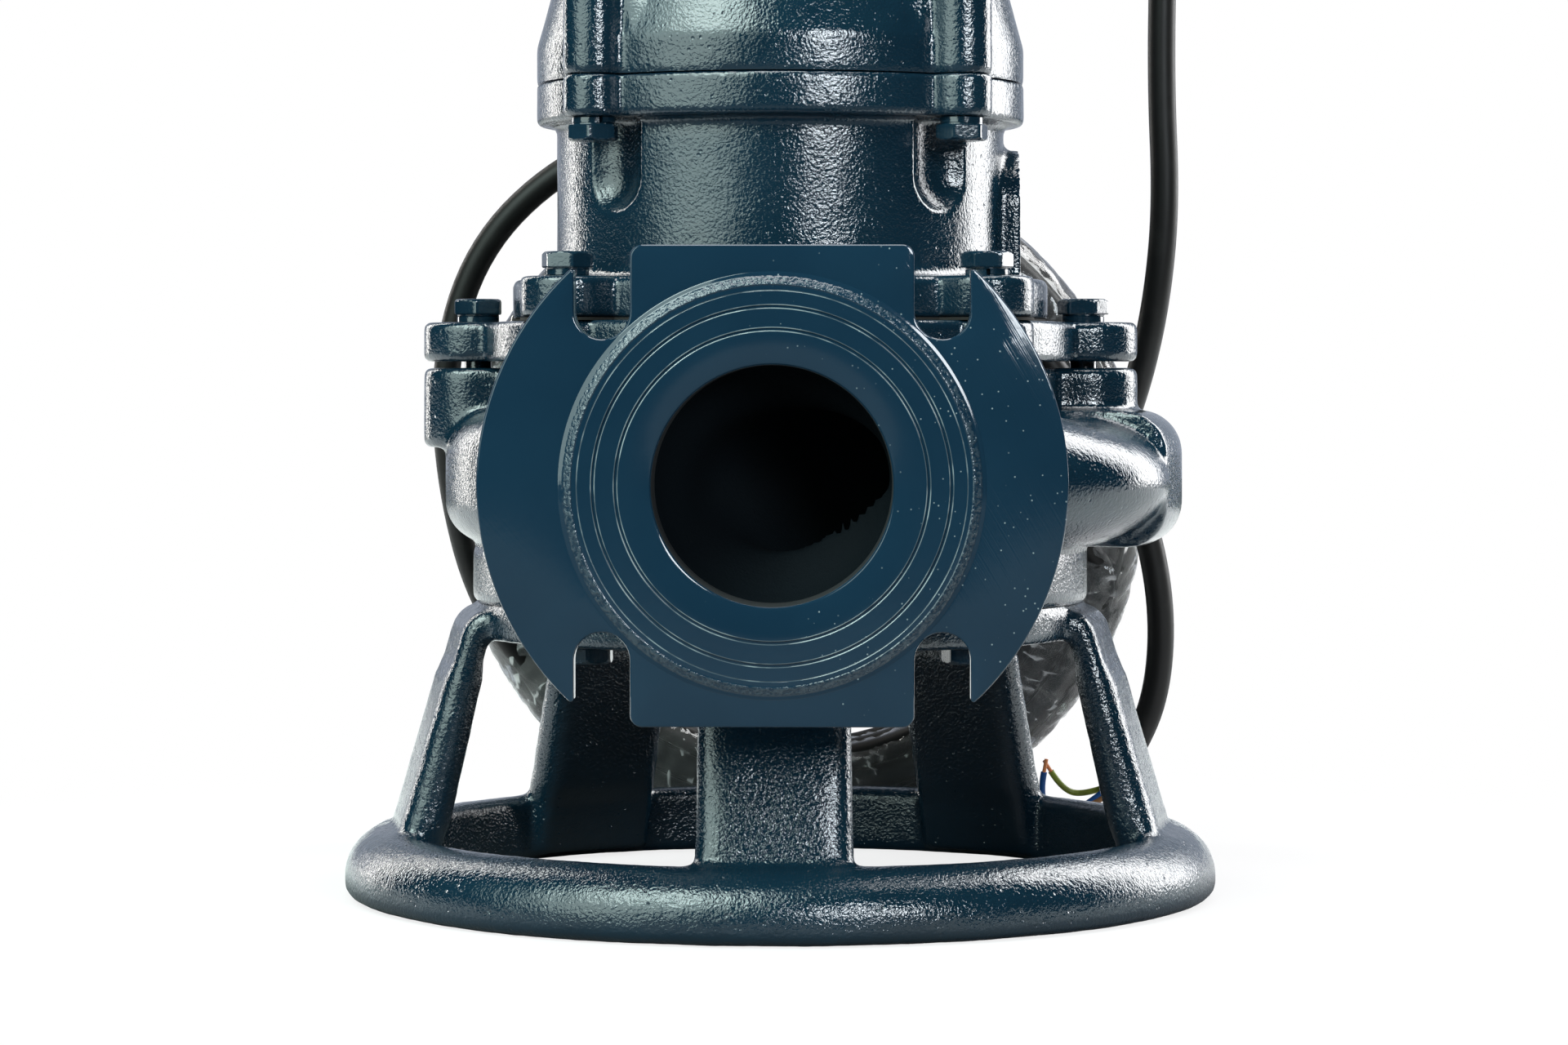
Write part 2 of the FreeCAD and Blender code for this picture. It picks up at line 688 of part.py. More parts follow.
def motor_housing():
    """Cast motor shell: bolted foot with four ear columns, a cone, the long barrel and the upper flange."""
    foot_top_z = bracket_top_z + housing_foot_h
    cone_top_z = foot_top_z + cone_h
    head_base_z = housing_top_z - housing_head_h
    shell = revolved([
        (housing_bore_r, bracket_top_z, 0),
        (bracket_head_r, bracket_top_z, 1),
        (bracket_head_r, foot_top_z, 4),
        (housing_r, cone_top_z, 20),
        (housing_r, head_base_z, 4),
        (housing_head_r, head_base_z, 2),
        (housing_head_r, housing_top_z, 1),
        (housing_bore_r, housing_top_z, 0),
    ])
    columns = []
    for angle in corner_angles:
        upright = lug(ear_circle_r, ear_r, bracket_top_z, ear_column_h, angle, 1.5)
        columns.append(upright)
        slope = Part.makeLoft([
            Part.Wire(Part.makeCircle(ear_r - 0.2, Vector(ear_circle_r, 0, bracket_top_z + ear_column_h - 4))),
            Part.Wire(Part.makeCircle(ear_r - 4, Vector(housing_r - 5, 0, cone_top_z))),
        ], True)
        columns.append(turned(slope, angle))
    top_ears = [
        lug(top_bolt_circle_r, ear_r, head_base_z, housing_head_h, angle, 1.5) for angle in corner_angles]
    shoulder = ring(winding_r + 2, housing_bore_r + 1, core_base_z - 6, 6)
    body = shell.fuse(columns + top_ears)
    bore = disc(housing_bore_r, bracket_top_z - 1, housing_h + 2)
    deep = housing_bolt_length - bracket_head_h + 1
    lower_holes = holes(m10["r"] + shank_clearance, ear_circle_r, corner_angles, bracket_top_z - 1, deep)
    upper_deep = top_bolt_length - top_cover_flange_h + 1
    upper_holes = holes(m8["r"] + shank_clearance, top_bolt_circle_r, corner_angles, housing_top_z - upper_deep,
                        upper_deep + 1)
    return body.cut([bore, lower_holes, upper_holes]).fuse(shoulder).removeSplitter()


def housing_o_ring():
    section_r = 1.2
    return Part.makeTorus(housing_bore_r - 4, section_r, Vector(0, 0, bracket_top_z + register_h + section_r))


def dome_profile(offset, base_z):
    """Outline of the domed part of the top cover, drawn in by an offset."""
    return [
        (0, base_z, 0),
        (dome_r - offset, base_z, 0),
        (dome_top_r - offset, dome_top_z - offset, 12 - offset),
        (0, dome_top_z - offset, 0),
    ]


def top_cover():
    """Domed cover that holds the upper bearing below and carries the handle and the gland above."""
    spigot_r = housing_bore_r - spigot_clearance
    flange = disc(housing_head_r, housing_top_z, top_cover_flange_h).fuse(
        disc(spigot_r, housing_top_z - register_h, register_h))
    ears = [
        lug(top_bolt_circle_r, ear_r, housing_top_z, top_cover_flange_h, angle, 1.5) for angle in corner_angles]
    dome = revolved(dome_profile(0, top_cover_flange_z))
    boss = disc(upper_bearing["outer_r"] + 6, upper_bearing_z(), housing_top_z - upper_bearing_z() + 2)
    gland_boss = Part.makeCylinder(gland_boss_r, gland_boss_reach - 30, polar(30, gland_angle, gland_axis_z),
                                   polar(1, gland_angle))
    pads = [
        disc(handle_foot_r + 2, top_cover_flange_z, dome_h, Vector(side * handle_half_span, 0, 0))
        for side in (-1, 1)]
    body = flange.fuse(ears + [dome, boss, gland_boss] + pads)
    hollow = revolved(dome_profile(dome_wall, top_cover_flange_z - 5))
    keep = [disc(m8["r"] + 5, top_cover_flange_z - 5, dome_h + 5, Vector(side * handle_half_span, 0, 0))
            for side in (-1, 1)]
    bearing_seat = disc(upper_bearing["outer_r"] + running_clearance, upper_bearing_z() - 1,
                        upper_bearing["width"] + 5)
    gland_hole = Part.makeCylinder(gland_thread_r - 4, gland_hole_length,
                                   polar(gland_hole_start, gland_angle, gland_axis_z), polar(1, gland_angle))
    gland_thread = Part.makeCylinder(gland_thread_r + running_clearance, 20, polar(gland_boss_reach - 12, gland_angle,
                                     gland_axis_z), polar(1, gland_angle))
    bolt_holes = holes(m8["r"] + shank_clearance, top_bolt_circle_r, corner_angles, housing_top_z - 1,
                       top_cover_flange_h + 2)
    handle_holes = [
        disc(m8["r"] + shank_clearance, dome_top_z - handle_bolt_length, handle_bolt_length + 1,
             Vector(side * handle_half_span, 0, 0)) for side in (-1, 1)]
    inside = hollow.cut(keep)
    return body.cut([inside, bearing_seat, gland_hole, gland_thread, bolt_holes] + handle_holes).removeSplitter()


def upper_bearing_z():
    """Underside of the upper bearing."""
    return housing_top_z - upper_bearing_drop


def top_o_ring():
    section_r = 1.2
    return Part.makeTorus(housing_bore_r - 3.5, section_r, Vector(0, 0, housing_top_z - register_h - section_r))


def bearing_rings(size, base_z):
    """Inner and outer ring of a deep-groove ball bearing, each with its ball groove."""
    pitch_r = (size["bore_r"] + size["outer_r"]) / 2
    wall = bearing_ring_wall * (size["outer_r"] - size["bore_r"])
    mid_z = base_z + size["width"] / 2
    groove = Part.makeTorus(pitch_r, size["ball_r"] + ball_clearance, Vector(0, 0, mid_z))
    inner = ring(size["bore_r"], size["bore_r"] + wall, base_z, size["width"], 0.6).cut(groove)
    outer = ring(size["outer_r"] - wall, size["outer_r"], base_z, size["width"], 0.6).cut(groove)
    return inner, outer


def bearing_balls(size, base_z):
    """Balls on the pitch circle, equally spaced."""
    pitch_r = (size["bore_r"] + size["outer_r"]) / 2
    mid_z = base_z + size["width"] / 2
    places = [polar(pitch_r, 360 / size["balls"] * k, mid_z) for k in range(size["balls"])]
    return Part.makeCompound([Part.makeSphere(size["ball_r"], place) for place in places])


def bearing_cage(size, base_z):
    """Riveted cage, as a thin band with a window for each ball."""
    pitch_r = (size["bore_r"] + size["outer_r"]) / 2
    mid_z = base_z + size["width"] / 2
    half_h = size["ball_r"] + 1.2
    band = ring(pitch_r - cage_wall, pitch_r + cage_wall, mid_z - half_h, 2 * half_h)
    windows = []
    for k in range(size["balls"]):
        window = Part.makeCylinder(size["ball_r"] + ball_clearance, 8, Vector(pitch_r - 4, 0, mid_z), Vector(1, 0, 0))
        windows.append(turned(window, 360 / size["balls"] * k))
    return band.cut(windows)


def lower_circlip():
    """Snap ring that holds the lower bearing down in the bracket."""
    z = lower_bearing_z + lower_bearing["width"]
    clip = ring(lower_bearing["outer_r"] - 3, lower_bearing["outer_r"] + 1.4, z, 1.6)
    reach = lower_bearing["outer_r"] + 2
    gap = Part.makeBox(reach, circlip_gap, 3, Vector(0, -circlip_gap / 2, z - 0.5))
    return clip.cut(gap)


def wave_spring():
    """Thin spring washer that preloads the upper bearing against the top cover."""
    base_z = upper_bearing_z() + upper_bearing["width"]
    return ring(upper_bearing["outer_r"] - 5, upper_bearing["outer_r"] - 0.5, base_z, 4)


def shaft_end_z():
    return impeller_base_z + 12


def shaft():
    """Stepped shaft: impeller seat with keyway, seal length, bearing seats and rotor seat."""
    shoulder_z = lower_bearing_z + lower_bearing["width"]
    top_z = upper_bearing_z() + upper_bearing["width"] + 2
    body = revolved([
        (0, shaft_end_z(), 0),
        (impeller_shaft_r, shaft_end_z(), 1),
        (impeller_shaft_r, impeller_top_z + 1, 0),
        (seal_shaft_r, impeller_top_z + 1, 1),
        (seal_shaft_r, shoulder_z, 0),
        (core_shaft_r, shoulder_z, 1),
        (core_shaft_r, core_base_z + core_h + end_ring_h + 4, 1),
        (13, core_base_z + core_h + end_ring_h + 4, 0),
        (13, upper_bearing_z(), 0.5),
        (top_shaft_r, upper_bearing_z(), 0),
        (top_shaft_r, top_z, 1),
        (0, top_z, 0),
    ])
    keyway = Part.makeBox(6, 5, 24, Vector(impeller_shaft_r - 3, -2.5, impeller_base_z + 14))
    thread = disc(m8["r"] + running_clearance, shaft_end_z() - 1, 26)
    return body.cut([keyway, thread])


def impeller_key():
    """Parallel key between the shaft and the impeller hub."""
    return Part.makeBox(4.9, 4.9, 23.8, Vector(impeller_shaft_r - 2.95, -2.45, impeller_base_z + 14.1))


def vane():
    """One backward-curved vane between the shrouds, as a curved blade of even thickness."""
    tip_r = impeller_r - 0.5
    faces = []
    for shift in (-0.5, 0.5):
        points = []
        for k in range(5):
            share = k / 4
            radius = vane_start_r + (tip_r - vane_start_r) * share
            angle = vane_wrap * (1 - (1 - share) ** 1.4)
            offset = math.degrees(shift * vane_thick / radius) * (1 + 0.5 * (1 - share))
            points.append(polar(radius, angle + offset, impeller_base_z + shroud_thick / 2))
        curve = Part.BSplineCurve()
        curve.interpolate(points)
        faces.append(curve.toShape())
    first, second = faces
    heel = Part.LineSegment(first.Vertexes[0].Point, second.Vertexes[0].Point).toShape()
    tip = Part.LineSegment(first.Vertexes[-1].Point, second.Vertexes[-1].Point).toShape()
    outline = Part.Wire(Part.__sortEdges__([first, tip, second, heel]))
    return Part.Face(outline).extrude(Vector(0, 0, impeller_h - shroud_thick))


def impeller():
    """Closed two-channel impeller: eye shroud with skirt, back shroud with hub, and curved vanes."""
    skirt_r = impeller_eye_r + wear_ring_wall + 1
    top_shroud_z = impeller_top_z - shroud_thick
    eye_shroud = revolved([
        (impeller_eye_r, impeller_base_z - impeller_skirt_h, 1),
        (skirt_r, impeller_base_z - impeller_skirt_h, 1),
        (skirt_r, impeller_base_z, 2),
        (impeller_r, impeller_base_z, 1),
        (impeller_r, impeller_base_z + shroud_thick, 1),
        (impeller_eye_r, impeller_base_z + shroud_thick, 3),
    ])
    back_shroud = revolved([
        (0, shaft_end_z() - 1, 0),
        (impeller_hub_r, shaft_end_z() - 1, 3),
        (impeller_hub_r, top_shroud_z, 8),
        (impeller_r, top_shroud_z, 1),
        (impeller_r, impeller_top_z, 1),
        (0, impeller_top_z, 0),
    ])
    vanes = [turned(vane(), 360 / vane_count * k) for k in range(vane_count)]
    body = eye_shroud.fuse([back_shroud] + vanes)
    bore = disc(impeller_shaft_r + running_clearance, shaft_end_z() - 2, impeller_h)
    keyway = Part.makeBox(6, 5, 24, Vector(impeller_shaft_r - 3.5, -2.5, impeller_base_z + 14))
    return body.cut([bore, keyway]).removeSplitter()


def impeller_washer():
    return ring(m8["r"] + shank_clearance, impeller_hub_r - 3, shaft_end_z() - 1 - 3, 3, 0.5)


def impeller_bolt():
    """Bolt in the end of the shaft, head down in the eye."""
    copy = bolt(m8, 20)
    copy.rotate(Vector(0, 0, 0), Vector(1, 0, 0), 180)
    copy.translate(Vector(0, 0, shaft_end_z() - 1 - 3))
    return copy


def seal_stack_z():
    """Seal heights: lower seat, lower ring, spring, upper ring, upper seat and its top."""
    lower_seat = cover_top_z - seal_seat_h
    upper_seat = web_base_z
    return lower_seat, lower_seat + seal_seat_h, upper_seat


def lower_seal_seat():
    lower, running, _ = seal_stack_z()
    return ring(seal_shaft_r + 1, seal_shaft_r + 8.5, lower, running - lower, 0.5)


def upper_seal_seat():
    _, _, upper = seal_stack_z()
    return ring(seal_shaft_r + 1, seal_shaft_r + 8.5, upper, seal_seat_h, 0.5)


def lower_seal_ring():
    _, running, _ = seal_stack_z()
    return ring(seal_shaft_r + running_clearance, seal_shaft_r + 6, running + 0.02, 9, 0.5)


def upper_seal_ring():
    _, _, upper = seal_stack_z()
    return ring(seal_shaft_r + running_clearance, seal_shaft_r + 6, upper - 9.02, 9, 0.5)


def seal_spring():
    """Spring between the two rotating seal rings, as a sleeve of its coil's size."""
    _, running, upper = seal_stack_z()
    base = running + 9.02
    return ring(seal_shaft_r + 1.5, seal_shaft_r + 4.5, base, upper - 9.02 - base, 0.5)


def rotor_core():
    """Laminated rotor with the cast end rings of its cage."""
    core = ring(core_shaft_r, rotor_r, core_base_z, core_h)
    lower = ring(core_shaft_r + 4, rotor_r - 2, core_base_z - end_ring_h, end_ring_h, 1)
    upper = ring(core_shaft_r + 4, rotor_r - 2, core_base_z + core_h, end_ring_h, 1)
    return core.fuse([lower, upper])


def stator_core():
    return ring(stator_bore_r, housing_bore_r, core_base_z, core_h)


def stator_windings():
    """Winding heads above and below the stator core."""
    lower = ring(winding_bore_r, winding_r, core_base_z - winding_h, winding_h, 6)
    upper = ring(winding_bore_r, winding_r, core_base_z + core_h, winding_h, 6)
    return Part.makeCompound([lower, upper])


def terminal_block():
    """Moulded block with the cable's connections, on the floor of the dome."""
    block = Part.makeBox(16, 30, 12, Vector(-28, -15, top_cover_flange_z - 5))
    wells = []
    for k in range(3):
        wells.append(disc(3, top_cover_flange_z + 1, 8, Vector(-20, -9 + 9 * k, 0)))
    return block.cut(wells)


def lift_handle():
    """Bent round bar with a flat foot at each end, bolted on the top cover."""
    foot_z = dome_top_z
    corner = handle_bend_r
    top = foot_z + handle_h
    span = handle_half_span - handle_bar_inset
    base = foot_z + handle_foot_h / 2
    start = Vector(-span, 0, base)
    bend = corner * (1 - math.sqrt(0.5))
    path = Part.Wire([
        Part.LineSegment(start, Vector(-span, 0, top - corner)).toShape(),
        Part.Arc(Vector(-span, 0, top - corner), Vector(-span + bend, 0, top - bend),
                 Vector(-span + corner, 0, top)).toShape(),
        Part.LineSegment(Vector(-span + corner, 0, top), Vector(span - corner, 0, top)).toShape(),
        Part.Arc(Vector(span - corner, 0, top), Vector(span - bend, 0, top - bend),
                 Vector(span, 0, top - corner)).toShape(),
        Part.LineSegment(Vector(span, 0, top - corner), Vector(span, 0, base)).toShape(),
    ])
    section = Part.Wire(Part.makeCircle(handle_bar_r, start, Vector(0, 0, 1)))
    bar = path.makePipeShell([section], True, True)
    feet = []
    for side in (-1, 1):
        eye = disc(handle_foot_r, foot_z, handle_foot_h, Vector(side * handle_half_span, 0, 0))
        strap = Part.makeBox(handle_foot_r + 5, 2 * handle_foot_r, handle_foot_h,
                             Vector(-handle_foot_r / 2, -handle_foot_r, foot_z))
        strap.translate(Vector(side * (span + (handle_foot_r - 5) / 2), 0, 0))
        feet.append(eye.fuse(strap))
    body = bar.fuse(feet)
    bolt_holes = [
        disc(m8["r"] + shank_clearance, foot_z - 1, handle_foot_h + 2, Vector(side * handle_half_span, 0, 0))
        for side in (-1, 1)]
    return body.cut(bolt_holes).removeSplitter()


def along_gland(shape, distance):
    """Places a piece drawn along +Z on the axis of the cable gland."""
    copy = shape.copy()
    copy.rotate(Vector(0, 0, 0), Vector(0, 1, 0), 90)
    copy.rotate(Vector(0, 0, 0), Vector(0, 0, 1), gland_angle)
    copy.translate(polar(distance, gland_angle, gland_axis_z))
    return copy


def gland_body():
    """Screwed gland: thread in the boss, hexagon and the neck that takes the nut."""
    thread = disc(gland_thread_r, -10, 10)
    hexagon = turned(hex_prism(gland_flats, 0, gland_base_h), 30)
    neck = disc(gland_thread_r - 1.5, gland_base_h - 1, gland_neck_h + 1)
    bore = disc(cable_r + 3, -11, 40)
    return along_gland(thread.fuse([hexagon, neck]).cut(bore), gland_boss_reach)


def gland_nut():
    """Domed nut that squeezes the rubber onto the cable."""
    body = revolved([
        (cable_r + 1, 0, 0),
        (gland_nut_r, 0, 1),
        (gland_nut_r, gland_nut_h * 0.55, 1),
        (gland_nut_r - 4, gland_nut_h, 4),
        (cable_r + 1, gland_nut_h, 0),
    ])
    inside = disc(gland_thread_r - 1.5 + running_clearance, -1, gland_neck_h + 1)
    return along_gland(body.cut(inside), gland_boss_reach + gland_base_h)


def gland_seal():
    """Rubber ring between the neck and the cable."""
    return along_gland(ring(cable_r - 1.5, cable_r + 3, -6, 6 + cable_start, 0.5), gland_boss_reach)


def cable_exit():
    """Where the cable leaves the gland's nut."""
    return polar(gland_boss_reach + cable_start, gland_angle, gland_axis_z)


def cord_path(points):
    """Straight runs joined by tangent arcs, each as large as its two runs allow."""
    edges = []
    last = points[0]
    tightest = None
    for index in range(1, len(points) - 1):
        here = points[index]
        back = points[index - 1] - here
        ahead = points[index + 1] - here
        shorter = min(back.Length, ahead.Length)
        back.normalize()
        ahead.normalize()
        turn = math.pi - math.acos(max(-1.0, min(1.0, back.dot(ahead))))
        radius = arc_share * shorter / math.tan(turn / 2)
        tightest = radius if tightest is None else min(tightest, radius)
        reach = arc_share * shorter
        bisector = (back + ahead).normalize()
        centre = here + bisector * (radius / math.cos(turn / 2))
        arc_start = here + back * reach
        arc_end = here + ahead * reach
        edges.append(Part.LineSegment(last, arc_start).toShape())
        edges.append(Part.Arc(arc_start, centre - bisector * radius, arc_end).toShape())
        last = arc_end
    edges.append(Part.LineSegment(last, points[-1]).toShape())
    return Part.Wire(edges), tightest


def cord_tube(name, points, radius):
    """Round cord along a route, with its tightest bend and its volume compared with section times length."""
    path, tightest = cord_path(points)
    start = points[0]
    section = Part.Wire(Part.makeCircle(radius, start, points[1] - start))
    tube = path.makePipeShell([section], True, False)
    expected = math.pi * radius ** 2 * path.Length
    print(name, "tightest radius", round(tightest, 1), "length", round(path.Length, 1),
          "volume ratio", round(tube.Volume / expected, 4), "lowest", round(tube.BoundBox.ZMin, 2))
    return tube


lead_route = [
    cable_exit(),
    Vector(102.8, 58.6, 506),
    Vector(122.6, 69.9, 496.5),
    Vector(137.7, 78.5, 479),
    Vector(146.4, 83.5, 456),
    Vector(150, 85, 415),
    Vector(151, 85, 364),
    Vector(150, 83, 312),
    Vector(152, 82, 264),
    Vector(149, 86, 227),
    Vector(143, 97, 195),
    Vector(135, 116, 168),
    Vector(126, 140, 145),
    Vector(119, 162, 129),
]

tail_route = [
    Vector(-70, 186, 44),
    Vector(-104, 174, 66),
    Vector(-130, 158, 100),
    Vector(-144, 143, 147),
    Vector(-147, 134, 198),
    Vector(-129, 131, 246),
    Vector(-93, 130, 280),
    Vector(-46, 131, 299),
    Vector(0, 133, 303),
    Vector(40, 133, 291),
    Vector(70, 133, 264),
    Vector(88, 134, 230),
    Vector(109, 136, 198),
    Vector(133, 138, 168),
    Vector(148, 140, 135),
    Vector(155, 144, 100),
    Vector(154, 149, 67),
    Vector(146, 153, 43),
    Vector(134, 157, 24),
]

core_routes = [
    [tail_route[-1], Vector(124, 159, 15), Vector(112, 159, 12), Vector(105, 158, 19), Vector(107, 157, 30)],
    [tail_route[-1] + Vector(0, 0, -3), Vector(126, 158, 15.5), Vector(118, 158, 15), Vector(110, 157, 17)],
    [tail_route[-1] + Vector(0, 3, 0), Vector(124, 162, 20), Vector(115, 162, 22), Vector(110, 160, 30)],
]


def cable_coil():
    """Upright coil as one solid of its outer shape, leaning slightly towards the pump."""
    lean = math.radians(coil_lean)
    half_axial = coil_axial / 2
    section = [
        (coil_outer_r - coil_radial, -half_axial, coil_corner),
        (coil_outer_r, -half_axial, coil_corner),
        (coil_outer_r, half_axial, coil_corner),
        (coil_outer_r - coil_radial, half_axial, coil_corner),
    ]
    body = revolved(section)
    body.rotate(Vector(0, 0, 0), Vector(1, 0, 0), 90 + coil_lean)
    rise = (coil_outer_r - coil_corner) * math.cos(lean) + (half_axial - coil_corner) * math.sin(lean) + coil_corner
    body.translate(Vector(coil_centre_x, coil_floor_y - coil_outer_r * math.sin(lean), rise + floor_clearance))
    return body


def cable_cores():
    """Bare wires at the stripped end of the cable."""
    wires = []
    for route in core_routes:
        path, _ = cord_path(route)
        section = Part.Wire(Part.makeCircle(core_wire_r, route[0], route[1] - route[0]))
        wires.append(path.makePipeShell([section], True, False))
    return Part.makeCompound(wires)


def write_parts():
    lower_inner, lower_outer = bearing_rings(lower_bearing, lower_bearing_z)
    upper_inner, upper_outer = bearing_rings(upper_bearing, upper_bearing_z())
    m10_washer = spring_washer(m10)
    m8_washer = spring_washer(m8)
    head_base_z = bracket_top_z - bracket_head_h
    foot_top_z = bracket_base_z + bracket_foot_h
    under_stand_ring_z = stand_h - top_ring_h
    parts = {
        "base_stand": base_stand(),
        "stand_bolts": around(bolt(m10, stand_bolt_length), stand_bolt_circle_r, corner_angles,
                              under_stand_ring_z, True),
        "volute_casing": volute_casing(),
        "wear_ring": wear_ring(),
        "casing_o_ring": casing_o_ring(),
        "oil_chamber_cover": oil_chamber_cover(),
        "cover_bolts": around(bolt(m10, cover_bolt_length), cover_bolt_circle_r, cross_angles,
                              cover_top_z + spring_washer_thick),
        "cover_spring_washers": around(m10_washer, cover_bolt_circle_r, cross_angles, cover_top_z),
        "cover_gasket": cover_gasket(),
        "bracket": bracket(),
        "bracket_bolts": around(bolt(m10, bracket_bolt_length), bracket_bolt_circle_r, corner_angles,
                                foot_top_z + spring_washer_thick),
        "bracket_spring_washers": around(m10_washer, bracket_bolt_circle_r, corner_angles, foot_top_z),
        "housing_bolts": around(bolt(m10, housing_bolt_length), ear_circle_r, corner_angles,
                                head_base_z - spring_washer_thick, True),
        "housing_spring_washers": around(m10_washer, ear_circle_r, corner_angles, head_base_z, True),
        "oil_plug": oil_plug(),
        "oil_plug_washer": oil_plug_washer(),
        "motor_housing": motor_housing(),
        "housing_o_ring": housing_o_ring(),
        "top_cover": top_cover(),
        "top_cover_bolts": around(bolt(m8, top_bolt_length), top_bolt_circle_r, corner_angles,
                                  top_cover_flange_z + spring_washer_thick),
        "top_cover_washers": around(m8_washer, top_bolt_circle_r, corner_angles, top_cover_flange_z),
        "top_o_ring": top_o_ring(),
        "lower_bearing_outer": lower_outer,
        "lower_bearing_inner": lower_inner,
        "lower_bearing_balls": bearing_balls(lower_bearing, lower_bearing_z),
        "lower_bearing_cage": bearing_cage(lower_bearing, lower_bearing_z),
        "lower_circlip": lower_circlip(),
        "upper_bearing_outer": upper_outer,
        "upper_bearing_inner": upper_inner,
        "upper_bearing_balls": bearing_balls(upper_bearing, upper_bearing_z()),
        "upper_bearing_cage": bearing_cage(upper_bearing, upper_bearing_z()),
        "wave_spring": wave_spring(),
        "shaft": shaft(),
        "impeller_key": impeller_key(),
        "impeller": impeller(),
        "impeller_washer": impeller_washer(),
        "impeller_bolt": impeller_bolt(),
        "lower_seal_seat": lower_seal_seat(),
        "lower_seal_ring": lower_seal_ring(),
        "seal_spring": seal_spring(),
        "upper_seal_ring": upper_seal_ring(),
        "upper_seal_seat": upper_seal_seat(),
        "rotor_core": rotor_core(),
        "stator_core": stator_core(),
        "stator_windings": stator_windings(),
        "terminal_block": terminal_block(),
        "gland_body": gland_body(),
        "gland_seal": gland_seal(),
        "gland_nut": gland_nut(),
        "lift_handle": lift_handle(),
        "handle_bolts": Part.makeCompound([
            around(bolt(m8, handle_bolt_length + handle_foot_h - 2), handle_half_span, (0.0, 180.0),
                   dome_top_z + handle_foot_h)]),
        "cable_lead": cord_tube("cable_lead", lead_route, cable_r),
        "cable_coil": cable_coil(),
        "cable_tail": cord_tube("cable_tail", tail_route, cable_r),
        "cable_cores": cable_cores(),
    }
    os.makedirs("parts", exist_ok=True)
    for name, shape in parts.items():
        shape.exportStep("parts/" + name + ".step")


write_parts()
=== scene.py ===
import json
import math

import bmesh
import bpy
import numpy as np
from mathutils import Matrix, Vector


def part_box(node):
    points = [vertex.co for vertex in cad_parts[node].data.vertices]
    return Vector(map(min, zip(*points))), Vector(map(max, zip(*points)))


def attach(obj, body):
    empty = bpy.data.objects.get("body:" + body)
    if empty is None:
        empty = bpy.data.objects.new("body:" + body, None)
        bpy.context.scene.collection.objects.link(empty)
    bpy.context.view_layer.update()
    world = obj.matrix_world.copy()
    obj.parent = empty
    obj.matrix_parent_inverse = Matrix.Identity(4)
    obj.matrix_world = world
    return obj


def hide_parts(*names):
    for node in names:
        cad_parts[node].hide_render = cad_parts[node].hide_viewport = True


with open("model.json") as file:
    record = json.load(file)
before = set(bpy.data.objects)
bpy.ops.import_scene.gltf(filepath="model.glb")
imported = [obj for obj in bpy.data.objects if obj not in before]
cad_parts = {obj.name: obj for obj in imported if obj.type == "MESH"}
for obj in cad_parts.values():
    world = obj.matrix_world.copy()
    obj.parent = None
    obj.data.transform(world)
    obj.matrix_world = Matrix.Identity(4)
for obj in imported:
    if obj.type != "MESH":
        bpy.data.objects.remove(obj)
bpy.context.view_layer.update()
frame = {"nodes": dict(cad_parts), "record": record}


# The studio: a camera at the height of the pump's cover, a pale floor that keeps the shadow, and soft lamps.
# The backdrop is white to the camera and to reflections from behind; in front it is dim, so enamel stays deep.

scene = bpy.context.scene
scene.view_settings.view_transform = "Standard"

camera_distance = 1.621
camera_height = 0.198
camera_turn = math.radians(0.9)
focal_pixels = 5240.0
image_width = 1920.0

camera_data = bpy.data.cameras.new("camera")
camera_data.sensor_width = 36.0
camera_data.lens = focal_pixels / image_width * camera_data.sensor_width
camera_data.shift_x = 4.5 / image_width
camera_data.shift_y = -190.0 / image_width
camera_data.clip_start = 0.05
camera_data.dof.use_dof = False
camera = bpy.data.objects.new("camera", camera_data)
scene.collection.objects.link(camera)
camera.location = (camera_distance * math.sin(camera_turn), -camera_distance * math.cos(camera_turn), camera_height)
camera.rotation_euler = (math.pi / 2, 0, camera_turn)
scene.camera = camera


class Value:
    """A node's output that takes part in Python sums; each operator adds its Math node."""

    def __init__(self, graph, socket):
        self.graph = graph
        self.socket = socket

    def math(self, operation, first, second=0.0):
        return self.graph.node("ShaderNodeMath", {"operation": operation}, {0: first, 1: second})

    def __add__(self, other):
        return self.math("ADD", self, other)

    def __radd__(self, other):
        return self.math("ADD", other, self)

    def __sub__(self, other):
        return self.math("SUBTRACT", self, other)

    def __rsub__(self, other):
        return self.math("SUBTRACT", other, self)

    def __mul__(self, other):
        return self.math("MULTIPLY", self, other)

    def __rmul__(self, other):
        return self.math("MULTIPLY", other, self)

    def __truediv__(self, other):
        return self.math("DIVIDE", self, other)

    def __rtruediv__(self, other):
        return self.math("DIVIDE", other, self)

    def __gt__(self, other):
        return self.math("GREATER_THAN", self, other)

    def __lt__(self, other):
        return self.math("LESS_THAN", self, other)


